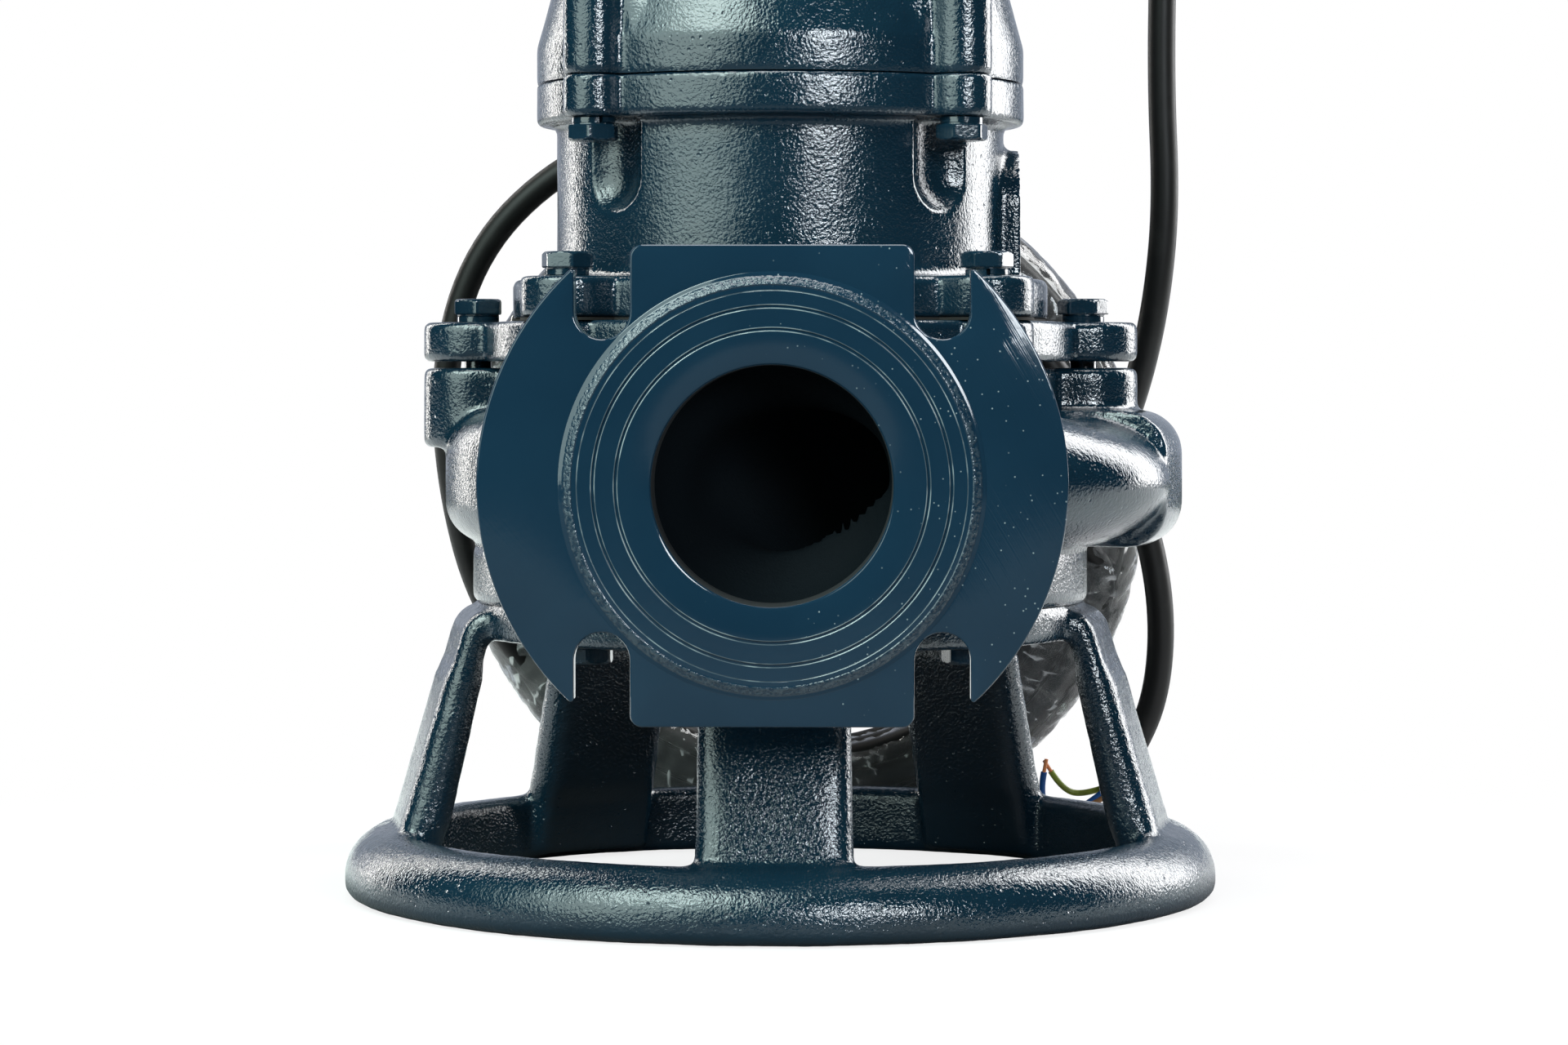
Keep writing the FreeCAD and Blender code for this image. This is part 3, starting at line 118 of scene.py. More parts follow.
class Graph:
    """A node tree of a material, the world or a Geometry Nodes group."""

    def __init__(self, tree):
        self.tree = tree

    def node(self, kind, settings=None, inputs=None, out=0):
        made = self.tree.nodes.new(kind)
        for key, value in (settings or {}).items():
            if key == "stops":
                ramp = made.color_ramp
                while len(ramp.elements) < len(value):
                    ramp.elements.new(1.0)
                for element, (place, shade) in zip(ramp.elements, value):
                    element.position = place
                    element.color = shade
            else:
                setattr(made, key, value)
        for key, value in (inputs or {}).items():
            if isinstance(value, Value):
                self.tree.links.new(value.socket, made.inputs[key])
            else:
                made.inputs[key].default_value = value
        return Value(self, made.outputs[out]) if len(made.outputs) else None

    def colour_mix(self, factor, first, second):
        return self.node("ShaderNodeMix", {"data_type": "RGBA"}, {0: factor, 6: first, 7: second}, 2)

    def step(self, value, low, high):
        """Rises smoothly from 0 at low to 1 at high."""
        return self.node("ShaderNodeMapRange", {"interpolation_type": "SMOOTHSTEP"},
                         {"Value": value, "From Min": low, "From Max": high})


def new_material(name):
    material = bpy.data.materials.new(name)
    material.use_nodes = True
    material.node_tree.nodes.clear()
    return material, Graph(material.node_tree)


world = bpy.data.worlds.new("studio")
scene.world = world
world.use_nodes = True
world.node_tree.nodes.clear()
sky = Graph(world.node_tree)
direction = sky.node("ShaderNodeTexCoord", out=0)
across = sky.node("ShaderNodeSeparateXYZ", inputs={0: direction}, out=1)
behind = sky.step(across, 0.55, 0.78)
ambient = sky.colour_mix(behind, (0.012, 0.014, 0.015, 1), (0.46, 0.50, 0.58, 1))
seen = sky.node("ShaderNodeLightPath", out=0)
sky.node("ShaderNodeOutputWorld", inputs={0: sky.node(
    "ShaderNodeBackground", inputs={"Color": sky.colour_mix(seen, ambient, (1, 1, 1, 1))})})


def softbox(name, azimuth, elevation, distance, width, height, radiance, tint=(1, 1, 1), shape="RECTANGLE"):
    """Flat lamp that looks at the pump; azimuth is measured from the camera's side, to the right."""
    data = bpy.data.lights.new(name, "AREA")
    data.shape = shape
    data.size = width
    data.size_y = height
    area = width * height if shape == "RECTANGLE" else math.pi * width * width / 4
    data.energy = radiance * math.pi * area
    data.color = tint
    lamp = bpy.data.objects.new(name, data)
    scene.collection.objects.link(lamp)
    a, e = math.radians(azimuth), math.radians(elevation)
    away = Vector((math.sin(a) * math.cos(e), -math.cos(a) * math.cos(e), math.sin(e)))
    lamp.location = Vector((0, 0, 0.2)) + away * distance
    lamp.rotation_mode = "QUATERNION"
    lamp.rotation_quaternion = away.to_track_quat("Z", "Y")
    lamp.visible_camera = False


softbox("softbox_right_front", 23.0, 15.5, 2.2, 0.70, 0.62, 15.0, (0.88, 0.95, 1.0))
softbox("umbrella_left_front", -43, 25, 2.0, 2.1, 2.1, 2.8, (0.80, 1.0, 0.93), "DISK")
softbox("umbrella_crown", -36, 47, 1.9, 1.2, 1.2, 6.0, (0.82, 1.0, 0.95), "DISK")
softbox("softbox_right_side", 121, 28, 1.8, 0.95, 2.1, 8.0)
softbox("strip_left_side", -132, 24, 1.8, 0.22, 2.0, 10.0, (1.0, 0.97, 0.92))
softbox("softbox_top", 30, 80, 1.9, 1.2, 0.8, 5.0)

floor_mesh = bpy.data.meshes.new("floor")
floor_half = 6.0
floor_mesh.from_pydata(
    [(-floor_half, -floor_half, 0), (floor_half, -floor_half, 0), (floor_half, floor_half, 0),
     (-floor_half, floor_half, 0)], [], [(0, 1, 2, 3)])
floor = bpy.data.objects.new("floor", floor_mesh)
scene.collection.objects.link(floor)
floor.location.z = -0.0004
floor_paper, g = new_material("floor_paper")
coords = g.node("ShaderNodeTexCoord", out=3)
fibre = g.node("ShaderNodeTexNoise", {"noise_dimensions": "3D"}, {"Vector": coords, "Scale": 9.0, "Detail": 3.0})
white_paper = g.colour_mix(fibre, (0.80, 0.80, 0.81, 1), (0.84, 0.84, 0.845, 1))
camera_ray = g.node("ShaderNodeLightPath", out=0)
floor_x = g.node("ShaderNodeSeparateXYZ", inputs={0: coords}, out=0)
floor_y = g.node("ShaderNodeSeparateXYZ", inputs={0: coords}, out=1)
away = (floor_x * floor_x + floor_y * floor_y).math("SQRT", floor_x * floor_x + floor_y * floor_y)
# To bounce light and reflections the floor is painted dark grey in front of the pump and under it, inside the stand:
# painted shade. To the camera it stays pale.
pale_share = g.step(floor_y, -0.30, -0.10) * g.step(away, 0.15, 0.22)
floor_painted_shade = g.colour_mix(pale_share, (0.13, 0.135, 0.14, 1), white_paper)
seen_paper = g.node("ShaderNodeBsdfDiffuse", inputs={"Color": white_paper, "Roughness": 0.6})
bounce_paper = g.node("ShaderNodeBsdfDiffuse", inputs={"Color": floor_painted_shade, "Roughness": 0.6})
glow = g.node("ShaderNodeEmission", inputs={"Color": (1, 1, 1, 1), "Strength": 1.0})
whiter = 0.80 + 0.20 * g.step(away, 0.16, 0.50)
to_camera = g.node("ShaderNodeMixShader", inputs={0: whiter, 1: seen_paper, 2: glow})
lit = g.node("ShaderNodeMixShader", inputs={0: camera_ray, 1: bounce_paper, 2: to_camera})
g.node("ShaderNodeOutputMaterial", inputs={0: lit})
floor.data.materials.append(floor_paper)


# The supply cable: round rubber-sheathed cable, 11 mm thick and about 8 m long. It leaves the gland at the top,
# drops behind the pump into a wound coil, and its free end loops over the back to the floor inside the stand.

cable_radius = 0.0055
cable_exit = (0.0677526, 0.038645, 0.506)

lead_points = [
    (0.1028, 0.0586, 0.506), (0.1226, 0.0699, 0.4965), (0.1377, 0.0785, 0.479), (0.1464, 0.0835, 0.456),
    (0.150, 0.085, 0.415), (0.151, 0.085, 0.364), (0.150, 0.083, 0.312), (0.152, 0.082, 0.264),
    (0.149, 0.086, 0.227), (0.143, 0.097, 0.195), (0.135, 0.116, 0.168), (0.126, 0.140, 0.145),
    (0.119, 0.162, 0.129)]
tail_points = [
    (-0.070, 0.186, 0.044), (-0.104, 0.176, 0.066), (-0.1275, 0.160, 0.100), (-0.1385, 0.144, 0.147),
    (-0.1410, 0.134, 0.198), (-0.127, 0.131, 0.246), (-0.093, 0.130, 0.280), (-0.046, 0.131, 0.299),
    (0.0, 0.133, 0.303), (0.040, 0.133, 0.291), (0.070, 0.133, 0.264), (0.088, 0.134, 0.230),
    (0.109, 0.136, 0.198), (0.133, 0.138, 0.168), (0.148, 0.140, 0.135), (0.155, 0.144, 0.100),
    (0.154, 0.149, 0.067), (0.146, 0.153, 0.043), (0.134, 0.157, 0.024)]

coil_centre_x = 0.005
coil_floor_y = 0.195
coil_lean = math.radians(7.0)
coil_outer_r = 0.142
coil_axial = 0.040
coil_corner = 0.012
coil_points_a_turn = 14
coil_rise = ((coil_outer_r - coil_corner) * math.cos(coil_lean)
             + (coil_axial / 2 - coil_corner) * math.sin(coil_lean) + coil_corner + 0.0003)
coil_centre = Vector((coil_centre_x, coil_floor_y - coil_outer_r * math.sin(coil_lean), coil_rise))
coil_up = Vector((0, -math.sin(coil_lean), math.cos(coil_lean)))
coil_axis = Vector((0, math.cos(coil_lean), math.sin(coil_lean)))


def on_coil(angle, radius, across):
    """Point of the coil at an angle from the +X side, turning upwards, and an offset along its axis."""
    return coil_centre + Vector((1, 0, 0)) * (radius * math.cos(angle)) + coil_up * (
        radius * math.sin(angle)) + coil_axis * across


coil_layers = [(0.1365, 1), (0.1248, -1), (0.1131, 1)]
coil_half = 0.0145
layer_turns = 2.75
change_turns = 0.16
lead_angle = math.radians(-14.0)
turn_points = []
turned = 0.0
for index, (layer_r, way) in enumerate(coil_layers):
    steps = round(layer_turns * coil_points_a_turn)
    for k in range(steps + 1):
        share = k / steps
        angle = lead_angle - 2 * math.pi * (turned + layer_turns * share)
        wander = 0.0006 * math.sin(5.1 * angle + 2 * index)
        turn_points.append(on_coil(angle, layer_r + wander, way * coil_half * (2 * share - 1)))
    turned += layer_turns + change_turns

cable_points = [cable_exit] + lead_points + [tuple(p) for p in turn_points] + tail_points
cable_curve = bpy.data.curves.new("supply_cable", "CURVE")
cable_curve.dimensions = "3D"
spline = cable_curve.splines.new("NURBS")
spline.points.add(len(cable_points) - 1)
for point, place in zip(spline.points, cable_points):
    point.co = (*place, 1.0)
spline.order_u = 3
spline.use_endpoint_u = True
spline.resolution_u = 8
cable_curve.bevel_depth = cable_radius
cable_curve.bevel_resolution = 5
cable_curve.use_fill_caps = True
cable = bpy.data.objects.new("supply_cable", cable_curve)
scene.collection.objects.link(cable)


def sheath_material(name, shade, scuff, roughness):
    """Matt sheath rubber with a fine drawn grain, dull scuffs and a little dust."""
    material, g = new_material(name)
    place = g.node("ShaderNodeTexCoord", out=3)
    cloud = g.node("ShaderNodeTexNoise", inputs={"Vector": place, "Scale": 46.0, "Detail": 4.0, "Roughness": 0.6})
    grain = g.node("ShaderNodeTexNoise", inputs={"Vector": place, "Scale": 1300.0, "Detail": 2.0})
    rubbed = g.step(cloud, 0.52, 0.72)
    base = g.colour_mix(rubbed, shade, scuff)
    bump = g.node("ShaderNodeBump", inputs={"Strength": 0.2, "Distance": 0.0002, "Height": grain * 0.4 + cloud})
    shader = g.node("ShaderNodeBsdfPrincipled", inputs={
        "Base Color": base, "Roughness": roughness + 0.12 * cloud, "Normal": bump, "Specular IOR Level": 0.3})
    g.node("ShaderNodeOutputMaterial", inputs={0: shader})
    return material


cable_rubber = sheath_material("cable_rubber", (0.0040, 0.0038, 0.0036, 1), (0.0092, 0.0090, 0.0086, 1), 0.42)
cable_curve.materials.append(cable_rubber)
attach(cable, "pump")
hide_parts("cable_lead", "cable_coil", "cable_tail")

# The stripped end of the cable: three cores in coloured insulation, spread apart just above the floor,
# each with a few millimetres of bare copper at its end.

core_radius = 0.0013
tip_radius = 0.0008
core_ends = {
    "core_blue": ((0.006, 0.060, 0.210, 1), [(0.134, 0.157, 0.024), (0.124, 0.159, 0.015), (0.112, 0.159, 0.012),
                                            (0.105, 0.158, 0.019), (0.107, 0.157, 0.030)]),
    "core_brown": ((0.20, 0.095, 0.035, 1), [(0.134, 0.157, 0.021), (0.126, 0.158, 0.0155), (0.118, 0.158, 0.015),
                                             (0.110, 0.157, 0.017)]),
    "core_earth": ((0.16, 0.20, 0.02, 1), [(0.134, 0.160, 0.024), (0.124, 0.162, 0.020), (0.115, 0.162, 0.022),
                                           (0.110, 0.160, 0.030)])}


def wire_piece(name, points, radius, finish):
    """Round wire along a smooth curve through its points."""
    curve = bpy.data.curves.new(name, "CURVE")
    curve.dimensions = "3D"
    wire = curve.splines.new("NURBS")
    wire.points.add(len(points) - 1)
    for point, place in zip(wire.points, points):
        point.co = (*place, 1.0)
    wire.order_u = 3
    wire.use_endpoint_u = True
    wire.resolution_u = 8
    curve.bevel_depth = radius
    curve.bevel_resolution = 3
    curve.use_fill_caps = True
    piece = bpy.data.objects.new(name, curve)
    scene.collection.objects.link(piece)
    curve.materials.append(finish)
    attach(piece, "pump")
    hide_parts("cable_cores")


bare_copper = sheath_material("bare_copper", (0.55, 0.20, 0.075, 1), (0.38, 0.13, 0.05, 1), 0.28)
for core_name, (shade, points) in core_ends.items():
    insulation = sheath_material(core_name, shade, tuple(0.6 * c for c in shade[:3]) + (1,), 0.35)
    wire_piece(core_name, points, core_radius, insulation)
    heading = (Vector(points[-1]) - Vector(points[-2])).normalized()
    tip_start = Vector(points[-1]) - heading * 0.001
    wire_piece(core_name + "_tip", [tuple(tip_start + heading * reach) for reach in (0, 0.003, 0.0065)],
               tip_radius, bare_copper)


# Film round the coil: thin clear stretch film, wound over the turns in overlapping bands and wrinkled across them.
# It is clear where it lies flat on the cable and milky where it bunches.

film_tree = bpy.data.node_groups.new("film_wrap", "GeometryNodeTree")
film_tree.interface.new_socket("Geometry", in_out="OUTPUT", socket_type="NodeSocketGeometry")
for label, kind, default in (("Ring radius", "NodeSocketFloat", 0.1215), ("Half width", "NodeSocketFloat", 0.0235),
                             ("Half height", "NodeSocketFloat", 0.0215), ("Wrinkle", "NodeSocketFloat", 0.0022),
                             ("Film", "NodeSocketMaterial", None)):
    film_socket = film_tree.interface.new_socket(label, in_out="INPUT", socket_type=kind)
    if default is not None:
        film_socket.default_value = default
g = Graph(film_tree)
film_inputs = film_tree.nodes.new("NodeGroupInput")
ring_radius, half_width, half_height, wrinkle, film_finish = (Value(g, film_inputs.outputs[k]) for k in range(5))
hoop = g.node("GeometryNodeCurvePrimitiveCircle", {"mode": "RADIUS"}, {"Resolution": 360, "Radius": ring_radius})
band = g.node("GeometryNodeCurvePrimitiveCircle", {"mode": "RADIUS"}, {"Resolution": 64, "Radius": 1.0})
turn_of_band = g.node("GeometryNodeInputPosition")
band_x = g.node("ShaderNodeSeparateXYZ", inputs={0: turn_of_band}, out=0)
band_y = g.node("ShaderNodeSeparateXYZ", inputs={0: turn_of_band}, out=1)


def squared(value):
    """Pushes the sides of a circle outwards, towards a rounded square."""
    return value.math("SIGN", value) * value.math("POWER", value.math("ABSOLUTE", value), 0.62)


oval_place = g.node("ShaderNodeCombineXYZ", inputs={0: squared(band_x) * half_width, 1: squared(band_y) * half_height})
oval = g.node("GeometryNodeSetPosition", inputs={"Geometry": band, "Position": oval_place})
wrap = g.node("GeometryNodeCurveToMesh", inputs={"Curve": hoop, "Profile Curve": oval, "Fill Caps": False})
spot = g.node("GeometryNodeInputPosition")
spot_x = g.node("ShaderNodeSeparateXYZ", inputs={0: spot}, out=0)
spot_y = g.node("ShaderNodeSeparateXYZ", inputs={0: spot}, out=1)
spot_z = g.node("ShaderNodeSeparateXYZ", inputs={0: spot}, out=2)
around_angle = g.node("ShaderNodeMath", {"operation": "ARCTAN2"}, {0: spot_y, 1: spot_x})
from_axis = g.node("ShaderNodeVectorMath", {"operation": "LENGTH"}, {0: g.node(
    "ShaderNodeCombineXYZ", inputs={0: spot_x, 1: spot_y})}, 1)
slant = g.node("ShaderNodeCombineXYZ", inputs={
    0: around_angle * 9.0 + spot_z * 60.0, 1: from_axis * 16.0, 2: spot_z * 16.0})
crease = g.node("ShaderNodeTexNoise", inputs={"Vector": slant, "Scale": 1.6, "Detail": 5.0, "Roughness": 0.62,
                                              "Distortion": 0.5})
sharp = 1.0 - (crease - 0.5).math("ABSOLUTE", crease - 0.5) * 6.0
normal = g.node("GeometryNodeInputNormal")
push = g.node("ShaderNodeVectorMath", {"operation": "SCALE"}, {0: normal, "Scale": (sharp - 0.55) * wrinkle})
creased = g.node("GeometryNodeSetPosition", inputs={"Geometry": wrap, "Offset": push})
marked = g.node("GeometryNodeStoreNamedAttribute", {"data_type": "FLOAT", "domain": "POINT"},
                {"Geometry": creased, "Name": "crease", "Value": sharp})
painted = g.node("GeometryNodeSetMaterial", inputs={
    "Geometry": g.node("GeometryNodeRealizeInstances", inputs={0: marked}), "Material": film_finish})
g.node("NodeGroupOutput", inputs={0: painted})


def grown(name, tree, values):
    """Plain mesh object made by a Geometry Nodes tree with its named inputs set."""
    piece = bpy.data.objects.new(name, bpy.data.meshes.new(name))
    scene.collection.objects.link(piece)
    modifier = piece.modifiers.new("nodes", "NODES")
    modifier.node_group = tree
    identifiers = {s.name: s.identifier for s in tree.interface.items_tree if s.in_out == "INPUT"}
    for label, value in values.items():
        modifier[identifiers[label]] = value
    result = bpy.data.meshes.new_from_object(piece.evaluated_get(bpy.context.evaluated_depsgraph_get()))
    piece.modifiers.clear()
    piece.data = result
    return piece


clear_film, g = new_material("clear_film")
place = g.node("ShaderNodeTexCoord", out=3)
crease = g.node("ShaderNodeAttribute", {"attribute_name": "crease"}, out=2)
haze = g.node("ShaderNodeTexNoise", inputs={"Vector": place, "Scale": 35.0, "Detail": 5.0, "Roughness": 0.65})
fine = g.node("ShaderNodeTexNoise", inputs={"Vector": place, "Scale": 160.0, "Detail": 3.0})
milky = g.step(crease, 0.80, 1.0) * g.step(haze, 0.40, 0.60)
bump = g.node("ShaderNodeBump", inputs={"Strength": 0.6, "Distance": 0.0012, "Height": haze + 0.3 * fine})
plastic = g.node("ShaderNodeBsdfPrincipled", inputs={
    "Base Color": (0.60, 0.60, 0.60, 1), "Roughness": 0.16, "Normal": bump})
clear = g.node("ShaderNodeBsdfTransparent", inputs={"Color": (0.96, 0.97, 0.97, 1)})
mixed = g.node("ShaderNodeMixShader", inputs={0: 0.11 + 0.75 * milky, 1: clear, 2: plastic})
gloss = g.node("ShaderNodeBsdfGlossy", inputs={"Color": (0.9, 0.9, 0.9, 1), "Roughness": 0.12, "Normal": bump})
facing = g.node("ShaderNodeFresnel", inputs={"IOR": 1.45, "Normal": bump})
sheen = g.node("ShaderNodeMixShader", inputs={0: facing, 1: mixed, 2: gloss})
g.node("ShaderNodeOutputMaterial", inputs={0: sheen})

film = grown("coil_film", film_tree, {"Ring radius": 0.1245, "Half width": 0.0192, "Half height": 0.0210,
                                      "Wrinkle": 0.0016, "Film": clear_film})
film_turn = coil_axis.to_track_quat("Z", "Y").to_matrix().to_4x4()
film.data.transform(film_turn)
film.data.transform(Matrix.Translation(coil_centre))
floor_gap = 0.0004
for vertex in film.data.vertices:
    vertex.co.z = max(vertex.co.z, floor_gap)
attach(film, "pump")


# The stand: a grey-iron casting with a rounded floor ring, five leaning legs and the ring under the casing.
# It is left as it comes from the sand, edges and all, and painted with the pump.

machining_stock = 0.004
joint_gap = 0.00012


def smoothed(name, node, voxel, passes, trim=None, seats=(), soft=None):
    """Mesh of a casting: its solid with edges rounded as a sand mould leaves them, and stock on each seat."""
    work = bmesh.new()
    work.from_mesh(frame["nodes"][node].data)
    bmesh.ops.remove_doubles(work, verts=work.verts, dist=1e-6)
    for level, way in seats:
        for vertex in work.verts:
            if abs(vertex.co.z - level) < 1e-5:
                vertex.co.z += way * machining_stock
    if trim is not None:
        trim(work)
    mesh = bpy.data.meshes.new(name)
    work.to_mesh(mesh)
    work.free()
    piece = bpy.data.objects.new(name, mesh)
    scene.collection.objects.link(piece)
    remesh = piece.modifiers.new("voxels", "REMESH")
    remesh.mode = "VOXEL"
    remesh.voxel_size = voxel
    remesh.use_smooth_shade = True
    rounding = piece.modifiers.new("rounding", "SMOOTH")
    rounding.factor = 0.5
    rounding.iterations = passes
    if soft is not None:
        low, high, extra = soft
        piece.data = bpy.data.meshes.new_from_object(piece.evaluated_get(bpy.context.evaluated_depsgraph_get()))
        piece.modifiers.clear()
        group = piece.vertex_groups.new(name="between")
        for vertex in piece.data.vertices:
            inward = min(vertex.co.z - low, high - vertex.co.z)
            if inward > 0:
                group.add([vertex.index], min(inward / 0.008, 1.0), "REPLACE")
        softer = piece.modifiers.new("softer", "SMOOTH")
        softer.factor = 0.5
        softer.iterations = extra
        softer.vertex_group = "between"
        fuller = piece.modifiers.new("fuller", "DISPLACE")
        fuller.strength = 0.0016
        fuller.mid_level = 0.0
        fuller.vertex_group = "between"
    return piece


sand_tree = bpy.data.node_groups.new("sand_skin", "GeometryNodeTree")
sand_tree.interface.new_socket("Geometry", in_out="OUTPUT", socket_type="NodeSocketGeometry")
for label, kind, default in (("Geometry", "NodeSocketGeometry", None), ("Swell", "NodeSocketFloat", 0.0004),
                             ("Grain", "NodeSocketFloat", 0.0001), ("Seed", "NodeSocketFloat", 0.0),
                             ("Enamel", "NodeSocketMaterial", None)):
    skin_socket = sand_tree.interface.new_socket(label, in_out="INPUT", socket_type=kind)
    if default is not None:
        skin_socket.default_value = default
g = Graph(sand_tree)
skin_inputs = sand_tree.nodes.new("NodeGroupInput")
solid, swell, grain, seed, enamel_finish = (Value(g, skin_inputs.outputs[k]) for k in range(5))
position = g.node("GeometryNodeInputPosition")
wave = g.node("ShaderNodeTexNoise", {"noise_dimensions": "4D"},
              {"Vector": position, "W": seed, "Scale": 38.0, "Detail": 2.0})
lumps = g.node("ShaderNodeTexNoise", {"noise_dimensions": "4D"},
               {"Vector": position, "W": seed, "Scale": 210.0, "Detail": 2.0})
lift = (wave - 0.5) * swell + (lumps - 0.5) * grain
outward = g.node("GeometryNodeInputNormal")
shifted = g.node("GeometryNodeSetPosition", inputs={"Geometry": solid, "Offset": g.node(
    "ShaderNodeVectorMath", {"operation": "SCALE"}, {0: outward, "Scale": lift})})
g.node("NodeGroupOutput", inputs={0: g.node("GeometryNodeSetMaterial", inputs={
    "Geometry": g.node("GeometryNodeRealizeInstances", inputs={0: shifted}), "Material": enamel_finish})})


def enamel_material(name, peel, pits, gloss, dust_share=0.5, inside=False):
    """Dark teal enamel sprayed over iron: crisp orange peel, small craters, a little dust, brighter thin spots."""
    material, g = new_material(name)
    place = g.node("ShaderNodeTexCoord", out=3)
    cloud = g.node("ShaderNodeTexNoise", inputs={"Vector": place, "Scale": 22.0, "Detail": 4.0, "Roughness": 0.55})
    patch = g.node("ShaderNodeTexNoise", inputs={"Vector": place, "Scale": 90.0, "Detail": 3.0})
    peel_noise = g.node("ShaderNodeTexNoise", inputs={"Vector": place, "Scale": 860.0, "Detail": 2.0,
                                                      "Roughness": 0.5, "Distortion": 0.3})
    fine_noise = g.node("ShaderNodeTexNoise", inputs={"Vector": place, "Scale": 2400.0, "Detail": 1.0})
    cells = g.node("ShaderNodeTexVoronoi", {"feature": "F1"}, {"Vector": place, "Scale": 330.0})
    pit = (1.0 - g.step(cells, 0.05, 0.28)) * g.step(patch, 0.50, 0.62)
    dust_cells = g.node("ShaderNodeTexVoronoi", {"feature": "F1"}, {"Vector": place, "Scale": 380.0})
    dust = (1.0 - g.step(dust_cells, 0.03, 0.075)) * g.step(patch, 0.52, 0.66)
    deep = g.colour_mix(g.step(cloud, 0.35, 0.65), (0.0041, 0.0186, 0.0335, 1), (0.0056, 0.0238, 0.0415, 1))
    base = g.colour_mix(dust * dust_share, deep, (0.26, 0.33, 0.35, 1))
    height = peel_noise * peel + fine_noise * (0.12 * peel) - pit * pits + patch * (0.8 * peel)
    bump = g.node("ShaderNodeBump", inputs={"Strength": 1.0, "Distance": 0.001, "Height": height})
    shader = g.node("ShaderNodeBsdfPrincipled", inputs={
        "Base Color": base, "Roughness": gloss + 0.03 * patch + 0.2 * dust, "Normal": bump,
        "IOR": 1.52, "Specular IOR Level": 0.9})
    # Where the mesh's inside mark is set, the enamel gives way to a near-black, dull coat: painted shade for the deep
    # passages.
    if inside:
        painted_shade_share = g.node("ShaderNodeAttribute", {"attribute_name": "inside"}, out=2)
        inside_painted_shade = g.node("ShaderNodeBsdfPrincipled", inputs={
            "Base Color": g.colour_mix(cloud, (0.0022, 0.0042, 0.0060, 1), (0.0036, 0.0070, 0.0100, 1)),
            "Roughness": 0.75, "Normal": bump, "Specular IOR Level": 0.12})
        shader = g.node("ShaderNodeMixShader", inputs={0: painted_shade_share, 1: shader, 2: inside_painted_shade})
    g.node("ShaderNodeOutputMaterial", inputs={0: shader})
    return material


cast_enamel = enamel_material("cast_enamel", 0.21, 0.16, 0.05)
coarse_enamel = enamel_material("coarse_enamel", 0.30, 0.3, 0.04, dust_share=0.3)
smooth_enamel = enamel_material("smooth_enamel", 0.04, 0.03, 0.10)


def machined(mesh, level, way):
    """Faces a seat: takes the stock off at its level and leaves a flat with sharp edges."""
    work = bmesh.new()
    work.from_mesh(mesh)
    result = bmesh.ops.bisect_plane(
        work, geom=work.verts[:] + work.edges[:] + work.faces[:], plane_co=(0, 0, level - way * joint_gap),
        plane_no=(0, 0, way), clear_outer=True)
    rim = [e for e in result["geom_cut"] if isinstance(e, bmesh.types.BMEdge)]
    bmesh.ops.triangle_fill(work, use_beauty=True, edges=rim, normal=(0, 0, way))
    work.to_mesh(mesh)
    work.free()


def sand_cast(name, node, voxel, passes, swell, grain, seed, finish, trim=None, body="pump",
              seats=(), soft=None, kept_share=1.0):
    """A casting's mesh with a slightly uneven skin and machined seats, riding in place of its solid."""
    piece = smoothed(name, node, voxel, passes, trim, seats, soft)
    modifier = piece.modifiers.new("skin", "NODES")
    modifier.node_group = sand_tree
    values = {"Swell": swell, "Grain": grain, "Seed": seed, "Enamel": finish}
    for socket in sand_tree.interface.items_tree:
        if socket.in_out == "INPUT" and socket.name in values:
            modifier[socket.identifier] = values[socket.name]
    if kept_share < 1:
        thinner = piece.modifiers.new("thinner", "DECIMATE")
        thinner.ratio = kept_share
    mesh = bpy.data.meshes.new_from_object(piece.evaluated_get(bpy.context.evaluated_depsgraph_get()))
    piece.modifiers.clear()
    piece.data = mesh
    for level, way in seats:
        machined(mesh, level, way)
    if seats:
        for polygon in mesh.polygons:
            polygon.use_smooth = True
        mesh.set_sharp_from_angle(angle=math.radians(60))
    print(name, "triangles", sum(len(p.vertices) - 2 for p in mesh.polygons))
    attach(piece, body)
    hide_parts(node)
    return piece


stand_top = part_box("base_stand")[1][2]
sand_cast("stand_casting", "base_stand", 0.0016, 5, 0.0007, 0.0003, 1.0, coarse_enamel, seats=[(stand_top, 1)],
          soft=(0.022, 0.090, 70))


# The volute casing: the spiral casting that gathers the flow and turns it out through the flange.
# Its skin is left rough behind the flange; the front of the flange is its own mesh, turned smooth.

flange_axis_z = 0.158
flange_trim_y = -0.170


def cut_at_flange(work):
    """Takes the front of the flange off the casing's mesh and closes the cut."""
    result = bmesh.ops.bisect_plane(
        work, geom=work.verts[:] + work.edges[:] + work.faces[:], plane_co=(0, flange_trim_y, 0),
        plane_no=(0, -1, 0), clear_outer=True)
    rim = [e for e in result["geom_cut"] if isinstance(e, bmesh.types.BMEdge)]
    bmesh.ops.triangle_fill(work, use_beauty=True, edges=rim, normal=(0, -1, 0))
    bmesh.ops.recalc_face_normals(work, faces=work.faces[:])


casing = sand_cast("casing", "volute_casing", 0.0014, 4, 0.0005, 0.00012, 2.0, None, cut_at_flange,
                   seats=[(stand_top, -1)], kept_share=0.47)
